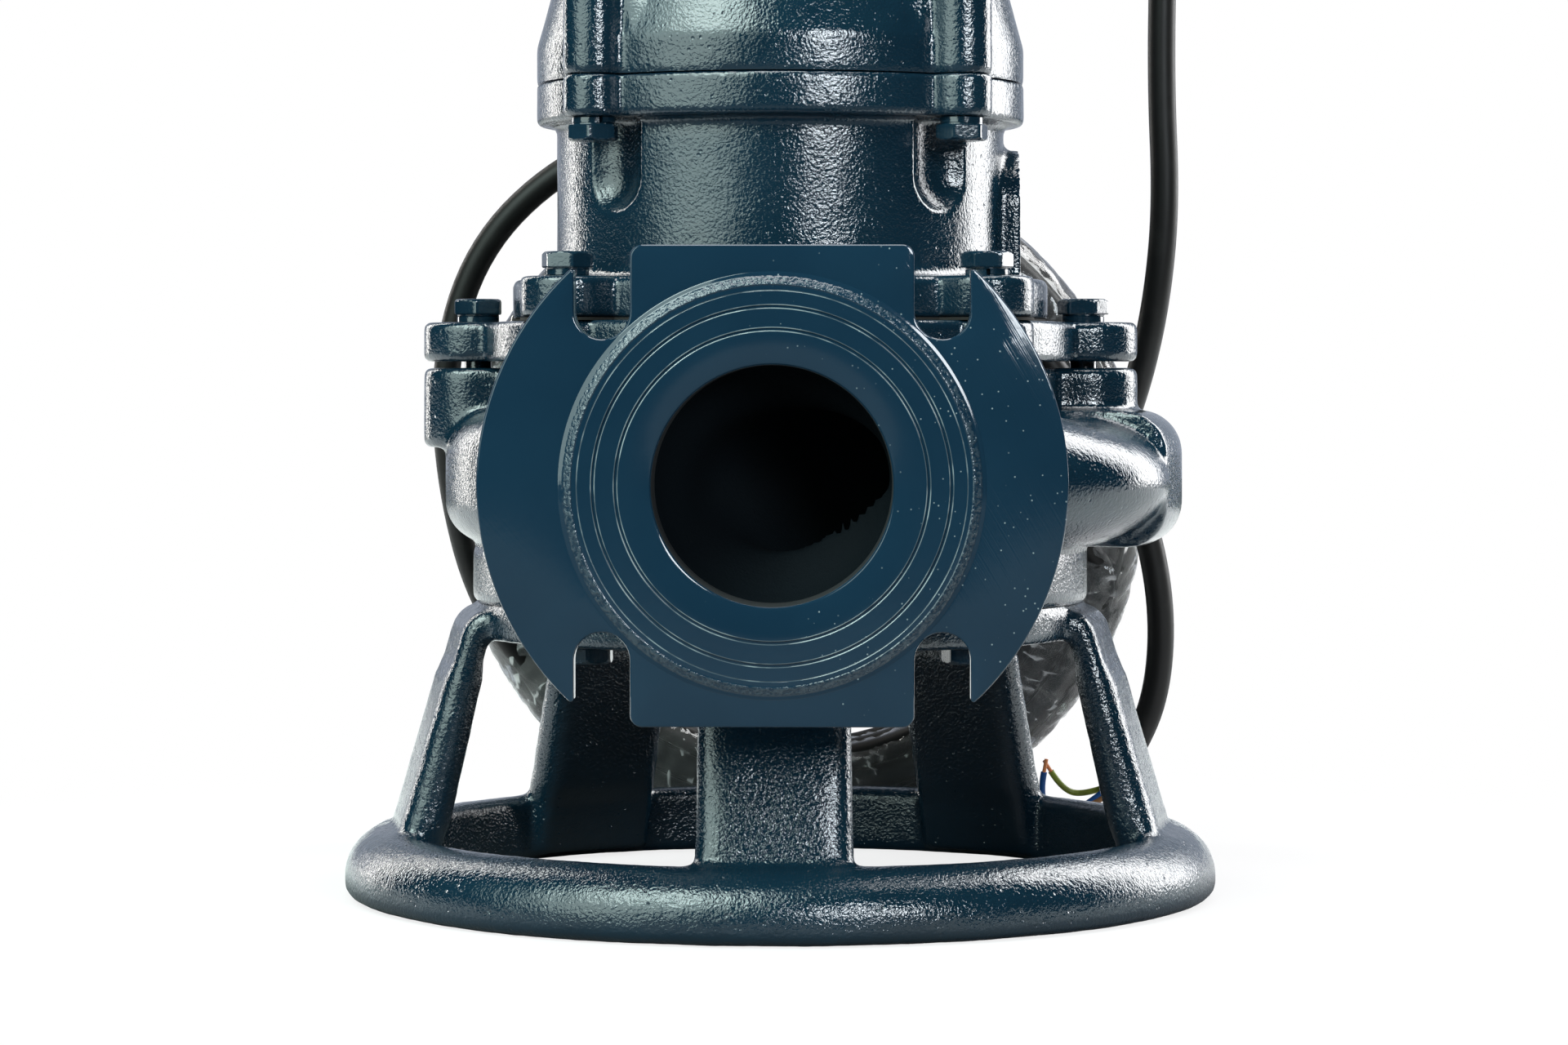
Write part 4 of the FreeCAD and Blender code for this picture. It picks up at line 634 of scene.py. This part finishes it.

# The wetted inside and the impeller chamber are painted near black and dull: painted shade, as little light reaches in
# there. The mesh marks how far each point lies inside the passages.
passage_line = np.array([(0.0, -0.180, 0.158, 0.0415), (0.0, -0.154, 0.158, 0.041), (0.011, -0.132, 0.1578, 0.037),
                         (0.044, -0.108, 0.1574, 0.0335), (0.084, -0.084, 0.157, 0.030), (0.112, -0.046, 0.157, 0.022)])
steps_between = np.linspace(0, 1, 12)[:, None]
passage = np.concatenate([a + (b - a) * steps_between for a, b in zip(passage_line, passage_line[1:])])
casing_points = np.empty(len(casing.data.vertices) * 3)
casing.data.vertices.foreach_get("co", casing_points)
casing_points = casing_points.reshape(-1, 3)
casing_normals = np.empty(len(casing.data.vertices) * 3)
casing.data.vertices.foreach_get("normal", casing_normals)
casing_normals = casing_normals.reshape(-1, 3)
depth = np.full(len(casing_points), -1.0)
for x, y, z, reach in passage:
    to_middle = (x, y, z) - casing_points
    apart = np.linalg.norm(to_middle, axis=1)
    faces_middle = (to_middle * casing_normals).sum(axis=1) > 0.25 * apart
    depth = np.maximum(depth, np.where(faces_middle, reach + 0.0055 - apart, -1.0))
chamber_apart = np.hypot(casing_points[:, 0], casing_points[:, 1])
in_chamber = (casing_points[:, 2] > 0.120) & (casing_points[:, 2] < 0.1985)
depth = np.maximum(depth, np.where(in_chamber, 0.0945 - chamber_apart, -1.0))
painted_shade_mark = casing.data.attributes.new("inside", "FLOAT", "POINT")
painted_shade_mark.data.foreach_set("value", np.clip(depth / 0.001, 0, 1))

casing_enamel = enamel_material("casing_enamel", 0.21, 0.16, 0.05, inside=True)
casing.data.materials.clear()
casing.data.materials.append(casing_enamel)

flange_bevel = 0.0008
plate_front_y = -0.178
plate_back_y = -0.168
lathe_steps = 240


def arc_points(centre_x, centre_z, radius, start, end, steps):
    points = []
    for k in range(steps + 1):
        angle = math.radians(start + (end - start) * k / steps)
        points.append((centre_x + radius * math.cos(angle), centre_z + radius * math.sin(angle)))
    return points


quarter = [(0.0, 0.0815), (0.015, 0.0815), (0.030, 0.0815)]
quarter += arc_points(0.044, 0.0775, 0.004, 90, 0, 6)
quarter += [(0.048, 0.072), (0.048, 0.0655)]
quarter += arc_points(0.0575, 0.059, 0.0095, 180, 360, 18)
quarter += [(0.067, 0.0632), (0.067, 0.0675)]
quarter += arc_points(0.068, 0.07195, 0.001, 180, 46.6, 6)
quarter += arc_points(0.0, 0.0, 0.100, 45.5, 0, 24)
outline = quarter + [(x, -z) for x, z in reversed(quarter[:-1])]
outline += [(-x, z) for x, z in reversed(outline[1:-1])]


def inset(points, amount):
    """The outline drawn in by an amount, vertex by vertex."""
    moved = []
    for index, (x, z) in enumerate(points):
        before = Vector(points[index - 1])
        after = Vector(points[(index + 1) % len(points)])
        along = (after - before).normalized()
        moved.append((x - along.y * -amount, z + along.x * -amount))
    return moved


work = bmesh.new()


def flange_loop(points, y):
    return [work.verts.new((x, y, flange_axis_z + z)) for x, z in points]


def lathe_loop(radius, y):
    return flange_loop(arc_points(0, 0, radius, 360, 0, lathe_steps)[:-1], y)


def skin(loops):
    """Quads between loops of the same number of points."""
    for first, second in zip(loops, loops[1:]):
        for k in range(len(first)):
            n = (k + 1) % len(first)
            work.faces.new((first[k], first[n], second[n], second[k]))


def cap(first, second):
    """Flat face between two loops, one inside the other."""
    edges = []
    for loop in (first, second):
        for k in range(len(loop)):
            pair = (loop[k], loop[(k + 1) % len(loop)])
            edges.append(work.edges.get(pair) or work.edges.new(pair))
    bmesh.ops.triangle_fill(work, use_beauty=True, edges=edges, normal=(0, -1, 0))


rim_loops = []
for k in range(4):
    lean_in = math.radians(30 * k)
    rim_loops.append(flange_loop(inset(outline, flange_bevel * (1 - math.sin(lean_in))),
                                 plate_front_y + flange_bevel * (1 - math.cos(lean_in))))
rim_loops.append(flange_loop(outline, plate_back_y))
skin(rim_loops)
face_profile = [
    (72.4, 178.0), (72.0, 178.2), (70.8, 178.35), (69.7, 178.9), (69.0, 179.55), (68.3, 179.92), (67.7, 180.0),
    (66.2, 180.0), (66.0, 179.85), (65.8, 180.0), (61.25, 180.0), (61.1, 179.9), (60.95, 179.4), (60.25, 179.4),
    (60.1, 179.9), (59.95, 180.0), (53.55, 180.0), (53.4, 179.9), (53.25, 179.4), (52.55, 179.4), (52.4, 179.9),
    (52.25, 180.0), (42.3, 180.0), (41.4, 179.75), (40.9, 179.2), (40.7, 178.4), (40.7, 155.0), (46.0, 155.0),
    (46.0, 168.0)]
face_loops = [lathe_loop(radius / 1000, -y / 1000) for radius, y in face_profile]
skin(face_loops)
cap(rim_loops[0], face_loops[0])
cap(rim_loops[-1], face_loops[-1])
bmesh.ops.recalc_face_normals(work, faces=work.faces[:])
face_mesh = bpy.data.meshes.new("flange_face")
work.to_mesh(face_mesh)
work.free()
for polygon in face_mesh.polygons:
    polygon.use_smooth = True
face_mesh.set_sharp_from_angle(angle=math.radians(24))
flange_face = bpy.data.objects.new("flange_face", face_mesh)
scene.collection.objects.link(flange_face)

turned_enamel, g = new_material("turned_enamel")
place = g.node("ShaderNodeTexCoord", out=3)
face_x = g.node("ShaderNodeSeparateXYZ", inputs={0: place}, out=0)
face_z = g.node("ShaderNodeSeparateXYZ", inputs={0: place}, out=2) - flange_axis_z
face_sum = face_x * face_x + face_z * face_z
face_r = face_sum.math("SQRT", face_sum)
rings = g.node("ShaderNodeTexNoise", {"noise_dimensions": "1D"}, {"W": face_r, "Scale": 2600.0, "Detail": 2.0})
milled = g.node("ShaderNodeTexNoise", {"noise_dimensions": "1D"}, {
    "W": face_x * 0.82 + face_z * 0.57 + face_x * face_x * 0.9, "Scale": 1500.0, "Detail": 1.5})
cloud = g.node("ShaderNodeTexNoise", inputs={"Vector": place, "Scale": 26.0, "Detail": 4.0, "Roughness": 0.55})
patch = g.node("ShaderNodeTexNoise", inputs={"Vector": place, "Scale": 75.0, "Detail": 3.0})
soft_peel = g.node("ShaderNodeTexNoise", inputs={"Vector": place, "Scale": 420.0, "Detail": 1.5})
rough_band = g.step(face_r, 0.0676, 0.0682) * (1.0 - g.step(face_r, 0.0702, 0.0712))
band_noise = g.node("ShaderNodeTexNoise", inputs={"Vector": place, "Scale": 700.0, "Detail": 2.0})
outer_part = g.step(face_r, 0.072, 0.073)
speck_cells = g.node("ShaderNodeTexVoronoi", {"feature": "F1"}, {"Vector": place, "Scale": 330.0})
speck = (1.0 - g.step(speck_cells, 0.06, 0.12)) * g.step(patch + 3.0 * face_x, 0.54, 0.70)
height = (rings * 0.004 * (1.0 - outer_part) + milled * (0.006 + 0.016 * g.step(face_x, 0.02, 0.07)) * outer_part + soft_peel * 0.012
          + band_noise * (0.55 * rough_band))
bump = g.node("ShaderNodeBump", inputs={"Strength": 1.0, "Distance": 0.001, "Height": height})
deep = g.colour_mix(g.step(cloud, 0.3, 0.7), (0.0067, 0.0272, 0.0512, 1), (0.0080, 0.0307, 0.0565, 1))
# Thin pale lines along the groove edges and the edge of the raised face: partly edge wear, partly painted highlight.
edge_wear_and_highlight = 0.0
for edge_r in (0.0612, 0.0600, 0.0535, 0.0523, 0.0660):
    off_edge = (face_r - edge_r).math("ABSOLUTE", face_r - edge_r)
    edge_wear_and_highlight = (1.0 - g.step(off_edge, 0.00008, 0.00028)) + edge_wear_and_highlight
# A little pale colour on the rough fillet band is painted highlight; the pale specks, more of them towards the right,
# are added in with it.
band_painted_highlight = g.step(band_noise, 0.42, 0.60)
pale_marks_and_painted_highlights = edge_wear_and_highlight * (0.25 + 0.75 * g.step(patch, 0.42, 0.62)) * 0.75 + rough_band * band_painted_highlight * 0.10 + speck * 0.7
base = g.colour_mix(pale_marks_and_painted_highlights.math("MINIMUM", pale_marks_and_painted_highlights, 1.0), deep, (0.34, 0.42, 0.44, 1))
# The bore of the flange is painted near black and dull: painted shade inside the nozzle.
bore_painted_shade = 1.0 - g.step(face_r, 0.04075, 0.0411)
base = g.colour_mix(bore_painted_shade, base, (0.0022, 0.0045, 0.0065, 1))
g.node("ShaderNodeOutputMaterial", inputs={0: g.node("ShaderNodeBsdfPrincipled", inputs={
    "Base Color": base, "Roughness": 0.05 + 0.03 * patch + 0.05 * rough_band + 0.8 * bore_painted_shade, "Normal": bump, "IOR": 1.52,
    "Specular IOR Level": 0.7})})
face_mesh.materials.append(turned_enamel)
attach(flange_face, "pump")
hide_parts("volute_casing")


# The cover over the casing, the bracket with the oil chamber, the motor housing and the top cover: four castings,
# each left rough outside and bolted to the one below.

housing_low, housing_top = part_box("motor_housing")[0][2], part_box("motor_housing")[1][2]


def taller_ears(work):
    """The four ears run on up the cone of the housing before they die into it."""
    ear_offset, ear_reach, ear_rise = 0.067, 0.013, 0.016
    for vertex in work.verts:
        beside = math.hypot(abs(vertex.co.x) - ear_offset, abs(vertex.co.y) - ear_offset)
        if beside < ear_reach and 0.018 < vertex.co.z - housing_low < 0.024:
            vertex.co.z += ear_rise


sand_cast("cover_casting", "oil_chamber_cover", 0.0012, 3, 0.0004, 0.0001, 3.0, cast_enamel)
sand_cast("bracket_casting", "bracket", 0.0012, 2, 0.0005, 0.00012, 4.0, cast_enamel, kept_share=0.64)
sand_cast("housing_casting", "motor_housing", 0.0014, 3, 0.0005, 0.00012, 5.0, cast_enamel, taller_ears,
          seats=[(housing_low, -1), (housing_top, 1)], kept_share=0.74)
sand_cast("top_casting", "top_cover", 0.0014, 3, 0.0005, 0.00012, 6.0, cast_enamel)


# Bolts and split spring washers: hexagon heads with a turned chamfer, each set grown round its bolt circle
# and painted over with the castings, so that every head sits at its own turn.

def hex_bolt(name, flats, head, shank_r, shank, washer):
    """One bolt with its seat at the origin; washer is the thickness of the spring washer below the head."""
    work = bmesh.new()
    steps = 72
    loops = []

    def loop(z, radius_of):
        verts = []
        for k in range(steps):
            turn = 2 * math.pi * k / steps
            radius = radius_of(turn)
            verts.append(work.verts.new((radius * math.cos(turn), radius * math.sin(turn), z)))
        loops.append(verts)

    def hexagon(turn):
        from_flat = (turn + math.pi / 6) % (math.pi / 3) - math.pi / 6
        return min(flats / 2 / math.cos(from_flat), flats / 2 * 1.135)

    top_r = flats * 0.455
    loop(-shank, lambda turn: shank_r * 0.8)
    loop(-shank + shank_r * 0.2, lambda turn: shank_r)
    loop(0, lambda turn: shank_r)
    loop(0, lambda turn: flats * 0.46)
    loop(0.0004, lambda turn: flats * 0.465)
    loop(0.0005, lambda turn: hexagon(turn) * 0.965)
    loop(0.0010, hexagon)
    for drop in (0.0018, 0.0014, 0.0010, 0.0006, 0.0003, 0.0001):
        loop(head - drop, lambda turn: min(hexagon(turn), top_r + drop * 1.55 + 0.0002))
    loop(head, lambda turn: top_r - 0.0002)
    loop(head - 0.0001, lambda turn: top_r * 0.5)
    for first, second in zip(loops, loops[1:]):
        for k in range(steps):
            n = (k + 1) % steps
            work.faces.new((first[k], first[n], second[n], second[k]))
    work.faces.new(loops[-1])
    work.faces.new(loops[0])
    if washer > 0:
        inner, outer, edge = shank_r + 0.0003, shank_r + 0.0029, 0.0003
        section = [(inner, 0), (inner, -washer), (outer - edge, -washer), (outer, -washer + edge), (outer, -edge),
                   (outer - edge, 0)]
        gap = 0.09
        rings_made = []
        for k in range(49):
            turn = gap + (2 * math.pi - 2 * gap) * k / 48
            rise = 0.00035 * (0.5 - k / 48)
            rings_made.append([work.verts.new((r * math.cos(turn), r * math.sin(turn), z + rise)) for r, z in section])
        for first, second in zip(rings_made, rings_made[1:]):
            for k in range(len(section)):
                n = (k + 1) % len(section)
                work.faces.new((first[k], first[n], second[n], second[k]))
        work.faces.new(rings_made[0])
        work.faces.new(rings_made[-1])
    bmesh.ops.recalc_face_normals(work, faces=work.faces[:])
    mesh = bpy.data.meshes.new(name)
    work.to_mesh(mesh)
    work.free()
    for polygon in mesh.polygons:
        polygon.use_smooth = True
    mesh.set_sharp_from_angle(angle=math.radians(28))
    return mesh


circle_tree = bpy.data.node_groups.new("bolt_circle", "GeometryNodeTree")
circle_tree.interface.new_socket("Geometry", in_out="OUTPUT", socket_type="NodeSocketGeometry")
for label, kind, default in (
        ("Geometry", "NodeSocketGeometry", None), ("Count", "NodeSocketInt", 4), ("Radius", "NodeSocketFloat", 0.1),
        ("First angle", "NodeSocketFloat", 0.0), ("Height", "NodeSocketFloat", 0.0), ("Over", "NodeSocketFloat", 0.0),
        ("Seed", "NodeSocketInt", 0), ("Enamel", "NodeSocketMaterial", None)):
    circle_socket = circle_tree.interface.new_socket(label, in_out="INPUT", socket_type=kind)
    if default is not None:
        circle_socket.default_value = default
g = Graph(circle_tree)
circle_inputs = circle_tree.nodes.new("NodeGroupInput")
one_bolt, count, circle_r, first_angle, seat_z, over, spin_seed, paint = (
    Value(g, circle_inputs.outputs[k]) for k in range(8))
which = g.node("GeometryNodeInputIndex")
bearing_angle = first_angle + which * (2 * math.pi) / count
spot = g.node("ShaderNodeCombineXYZ", inputs={
    0: circle_r * bearing_angle.math("COSINE", bearing_angle), 1: circle_r * bearing_angle.math("SINE", bearing_angle),
    2: seat_z})
spots = g.node("GeometryNodePoints", inputs={"Count": count, "Position": spot})
spin = g.node("FunctionNodeRandomValue", {"data_type": "FLOAT"}, {2: 0.0, 3: 6.28, "ID": which, "Seed": spin_seed}, 1)
pose = g.node("FunctionNodeEulerToRotation", inputs={0: g.node(
    "ShaderNodeCombineXYZ", inputs={0: over * math.pi, 1: 0.0, 2: spin})})
set_of_bolts = g.node("GeometryNodeInstanceOnPoints", inputs={"Points": spots, "Instance": one_bolt, "Rotation": pose})
g.node("NodeGroupOutput", inputs={0: g.node("GeometryNodeSetMaterial", inputs={
    "Geometry": g.node("GeometryNodeRealizeInstances", inputs={0: set_of_bolts}), "Material": paint})})


def bolt_set(name, mesh, nodes, count, radius, first, height, over, seed):
    """A circle of bolts that takes the place of the bolts and washers of the solids."""
    piece = bpy.data.objects.new(name, mesh)
    scene.collection.objects.link(piece)
    modifier = piece.modifiers.new("circle", "NODES")
    modifier.node_group = circle_tree
    values = {"Count": count, "Radius": radius, "First angle": math.radians(first), "Height": height,
              "Over": float(over), "Seed": seed, "Enamel": smooth_enamel}
    for socket in circle_tree.interface.items_tree:
        if socket.in_out == "INPUT" and socket.name in values:
            modifier[socket.identifier] = values[socket.name]
    grown_mesh = bpy.data.meshes.new_from_object(piece.evaluated_get(bpy.context.evaluated_depsgraph_get()))
    piece.modifiers.clear()
    piece.data = grown_mesh
    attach(piece, "pump")
    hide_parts(*nodes)


m10_bolt = hex_bolt("m10_bolt", 0.0170, 0.0064, 0.0050, 0.022, 0.0025)
m10_plain = hex_bolt("m10_plain", 0.0170, 0.0064, 0.0050, 0.024, 0)
m8_bolt = hex_bolt("m8_bolt", 0.0130, 0.0053, 0.0040, 0.018, 0.0025)
m8_plain = hex_bolt("m8_plain", 0.0130, 0.0053, 0.0040, 0.018, 0)
bolt_set("stand_bolt_set", m10_plain, ["stand_bolts"], 4, 0.0970, 45, 0.0970, True, 3)
bolt_set("cover_bolt_set", m10_bolt, ["cover_bolts", "cover_spring_washers"], 4, 0.1146, 0, 0.2175, False, 8)
bolt_set("bracket_bolt_set", m10_bolt, ["bracket_bolts", "bracket_spring_washers"], 4, 0.1072, 45, 0.2335, False, 5)
bolt_set("housing_bolt_set", m10_bolt, ["housing_bolts", "housing_spring_washers"], 4, 0.0947, 45, 0.2865, True, 11)
bolt_set("top_cover_bolt_set", m8_bolt, ["top_cover_bolts", "top_cover_washers"], 4, 0.0860, 45, 0.4925, False, 6)
bolt_set("handle_bolt_set", m8_plain, ["handle_bolts"], 2, 0.0460, 0, 0.5280, False, 2)


# The lifting handle is a bent bar with flat feet, and the impeller below is a small iron casting of its own.

sand_cast("handle_bar", "lift_handle", 0.0010, 3, 0.0001, 0.00003, 7.0, smooth_enamel)
impeller_enamel = enamel_material("impeller_enamel", 0.14, 0.10, 0.2)
sand_cast("impeller_casting", "impeller", 0.0012, 3, 0.0003, 0.0001, 8.0, impeller_enamel, body="rotor")


# Everything that keeps its turned or stamped shape gets the finish of its own metal, rubber or paper.

def metal_material(name, shade, dark, roughness, lines):
    """Bright machined metal with turning lines round the shaft's axis and faint oil stains."""
    material, g = new_material(name)
    place = g.node("ShaderNodeTexCoord", out=3)
    stain = g.node("ShaderNodeTexNoise", inputs={"Vector": place, "Scale": 70.0, "Detail": 4.0})
    height = g.node("ShaderNodeSeparateXYZ", inputs={0: place}, out=2)
    flat = g.node("ShaderNodeCombineXYZ", inputs={0: 0.0, 1: 0.0, 2: height})
    turning = g.node("ShaderNodeTexNoise", inputs={"Vector": flat, "Scale": lines, "Detail": 2.0})
    bump = g.node("ShaderNodeBump", inputs={"Strength": 0.3, "Distance": 0.0001, "Height": turning})
    shader = g.node("ShaderNodeBsdfPrincipled", inputs={
        "Base Color": g.colour_mix(g.step(stain, 0.4, 0.7), shade, dark), "Metallic": 1.0,
        "Roughness": roughness + 0.15 * stain, "Normal": bump})
    g.node("ShaderNodeOutputMaterial", inputs={0: shader})
    return material


slot_finish = {
    "cast_paint": cast_enamel,
    "painted_fastener": smooth_enamel,
    "bright_steel": metal_material("bright_steel", (0.56, 0.57, 0.58, 1), (0.40, 0.40, 0.40, 1), 0.22, 2400.0),
    "core_steel": metal_material("core_steel", (0.30, 0.30, 0.31, 1), (0.16, 0.15, 0.15, 1), 0.38, 2000.0),
    "bearing_cage": metal_material("bearing_cage", (0.50, 0.47, 0.42, 1), (0.34, 0.32, 0.29, 1), 0.32, 1800.0),
    "bronze": metal_material("bronze", (0.52, 0.33, 0.14, 1), (0.34, 0.20, 0.09, 1), 0.30, 2200.0),
    "copper": metal_material("copper", (0.72, 0.33, 0.20, 1), (0.45, 0.19, 0.11, 1), 0.28, 2200.0),
    "winding_copper": sheath_material("winding_copper", (0.34, 0.10, 0.035, 1), (0.20, 0.06, 0.022, 1), 0.30),
    "cast_impeller": impeller_enamel,
    "seal_carbide": sheath_material("seal_carbide", (0.020, 0.020, 0.022, 1), (0.035, 0.035, 0.037, 1), 0.18),
    "seal_rubber": sheath_material("seal_rubber", (0.012, 0.012, 0.012, 1), (0.022, 0.022, 0.022, 1), 0.5),
    "gasket_paper": sheath_material("gasket_paper", (0.020, 0.019, 0.017, 1), (0.035, 0.032, 0.028, 1), 0.8),
    "gland_plastic": sheath_material("gland_plastic", (0.010, 0.010, 0.011, 1), (0.018, 0.018, 0.019, 1), 0.35),
    "cable_rubber": cable_rubber,
    "core_insulation": sheath_material("core_insulation", (0.12, 0.045, 0.018, 1), (0.07, 0.03, 0.01, 1), 0.35)}
node_slots = {part["node"]: part["material_slot"] for part in frame["record"]["subparts"]}
for node_name, node_object in frame["nodes"].items():
    finish = slot_finish[node_slots[node_name]]
    node_object.data.materials.clear()
    node_object.data.materials.append(finish)
    for polygon in node_object.data.polygons:
        polygon.material_index = 0
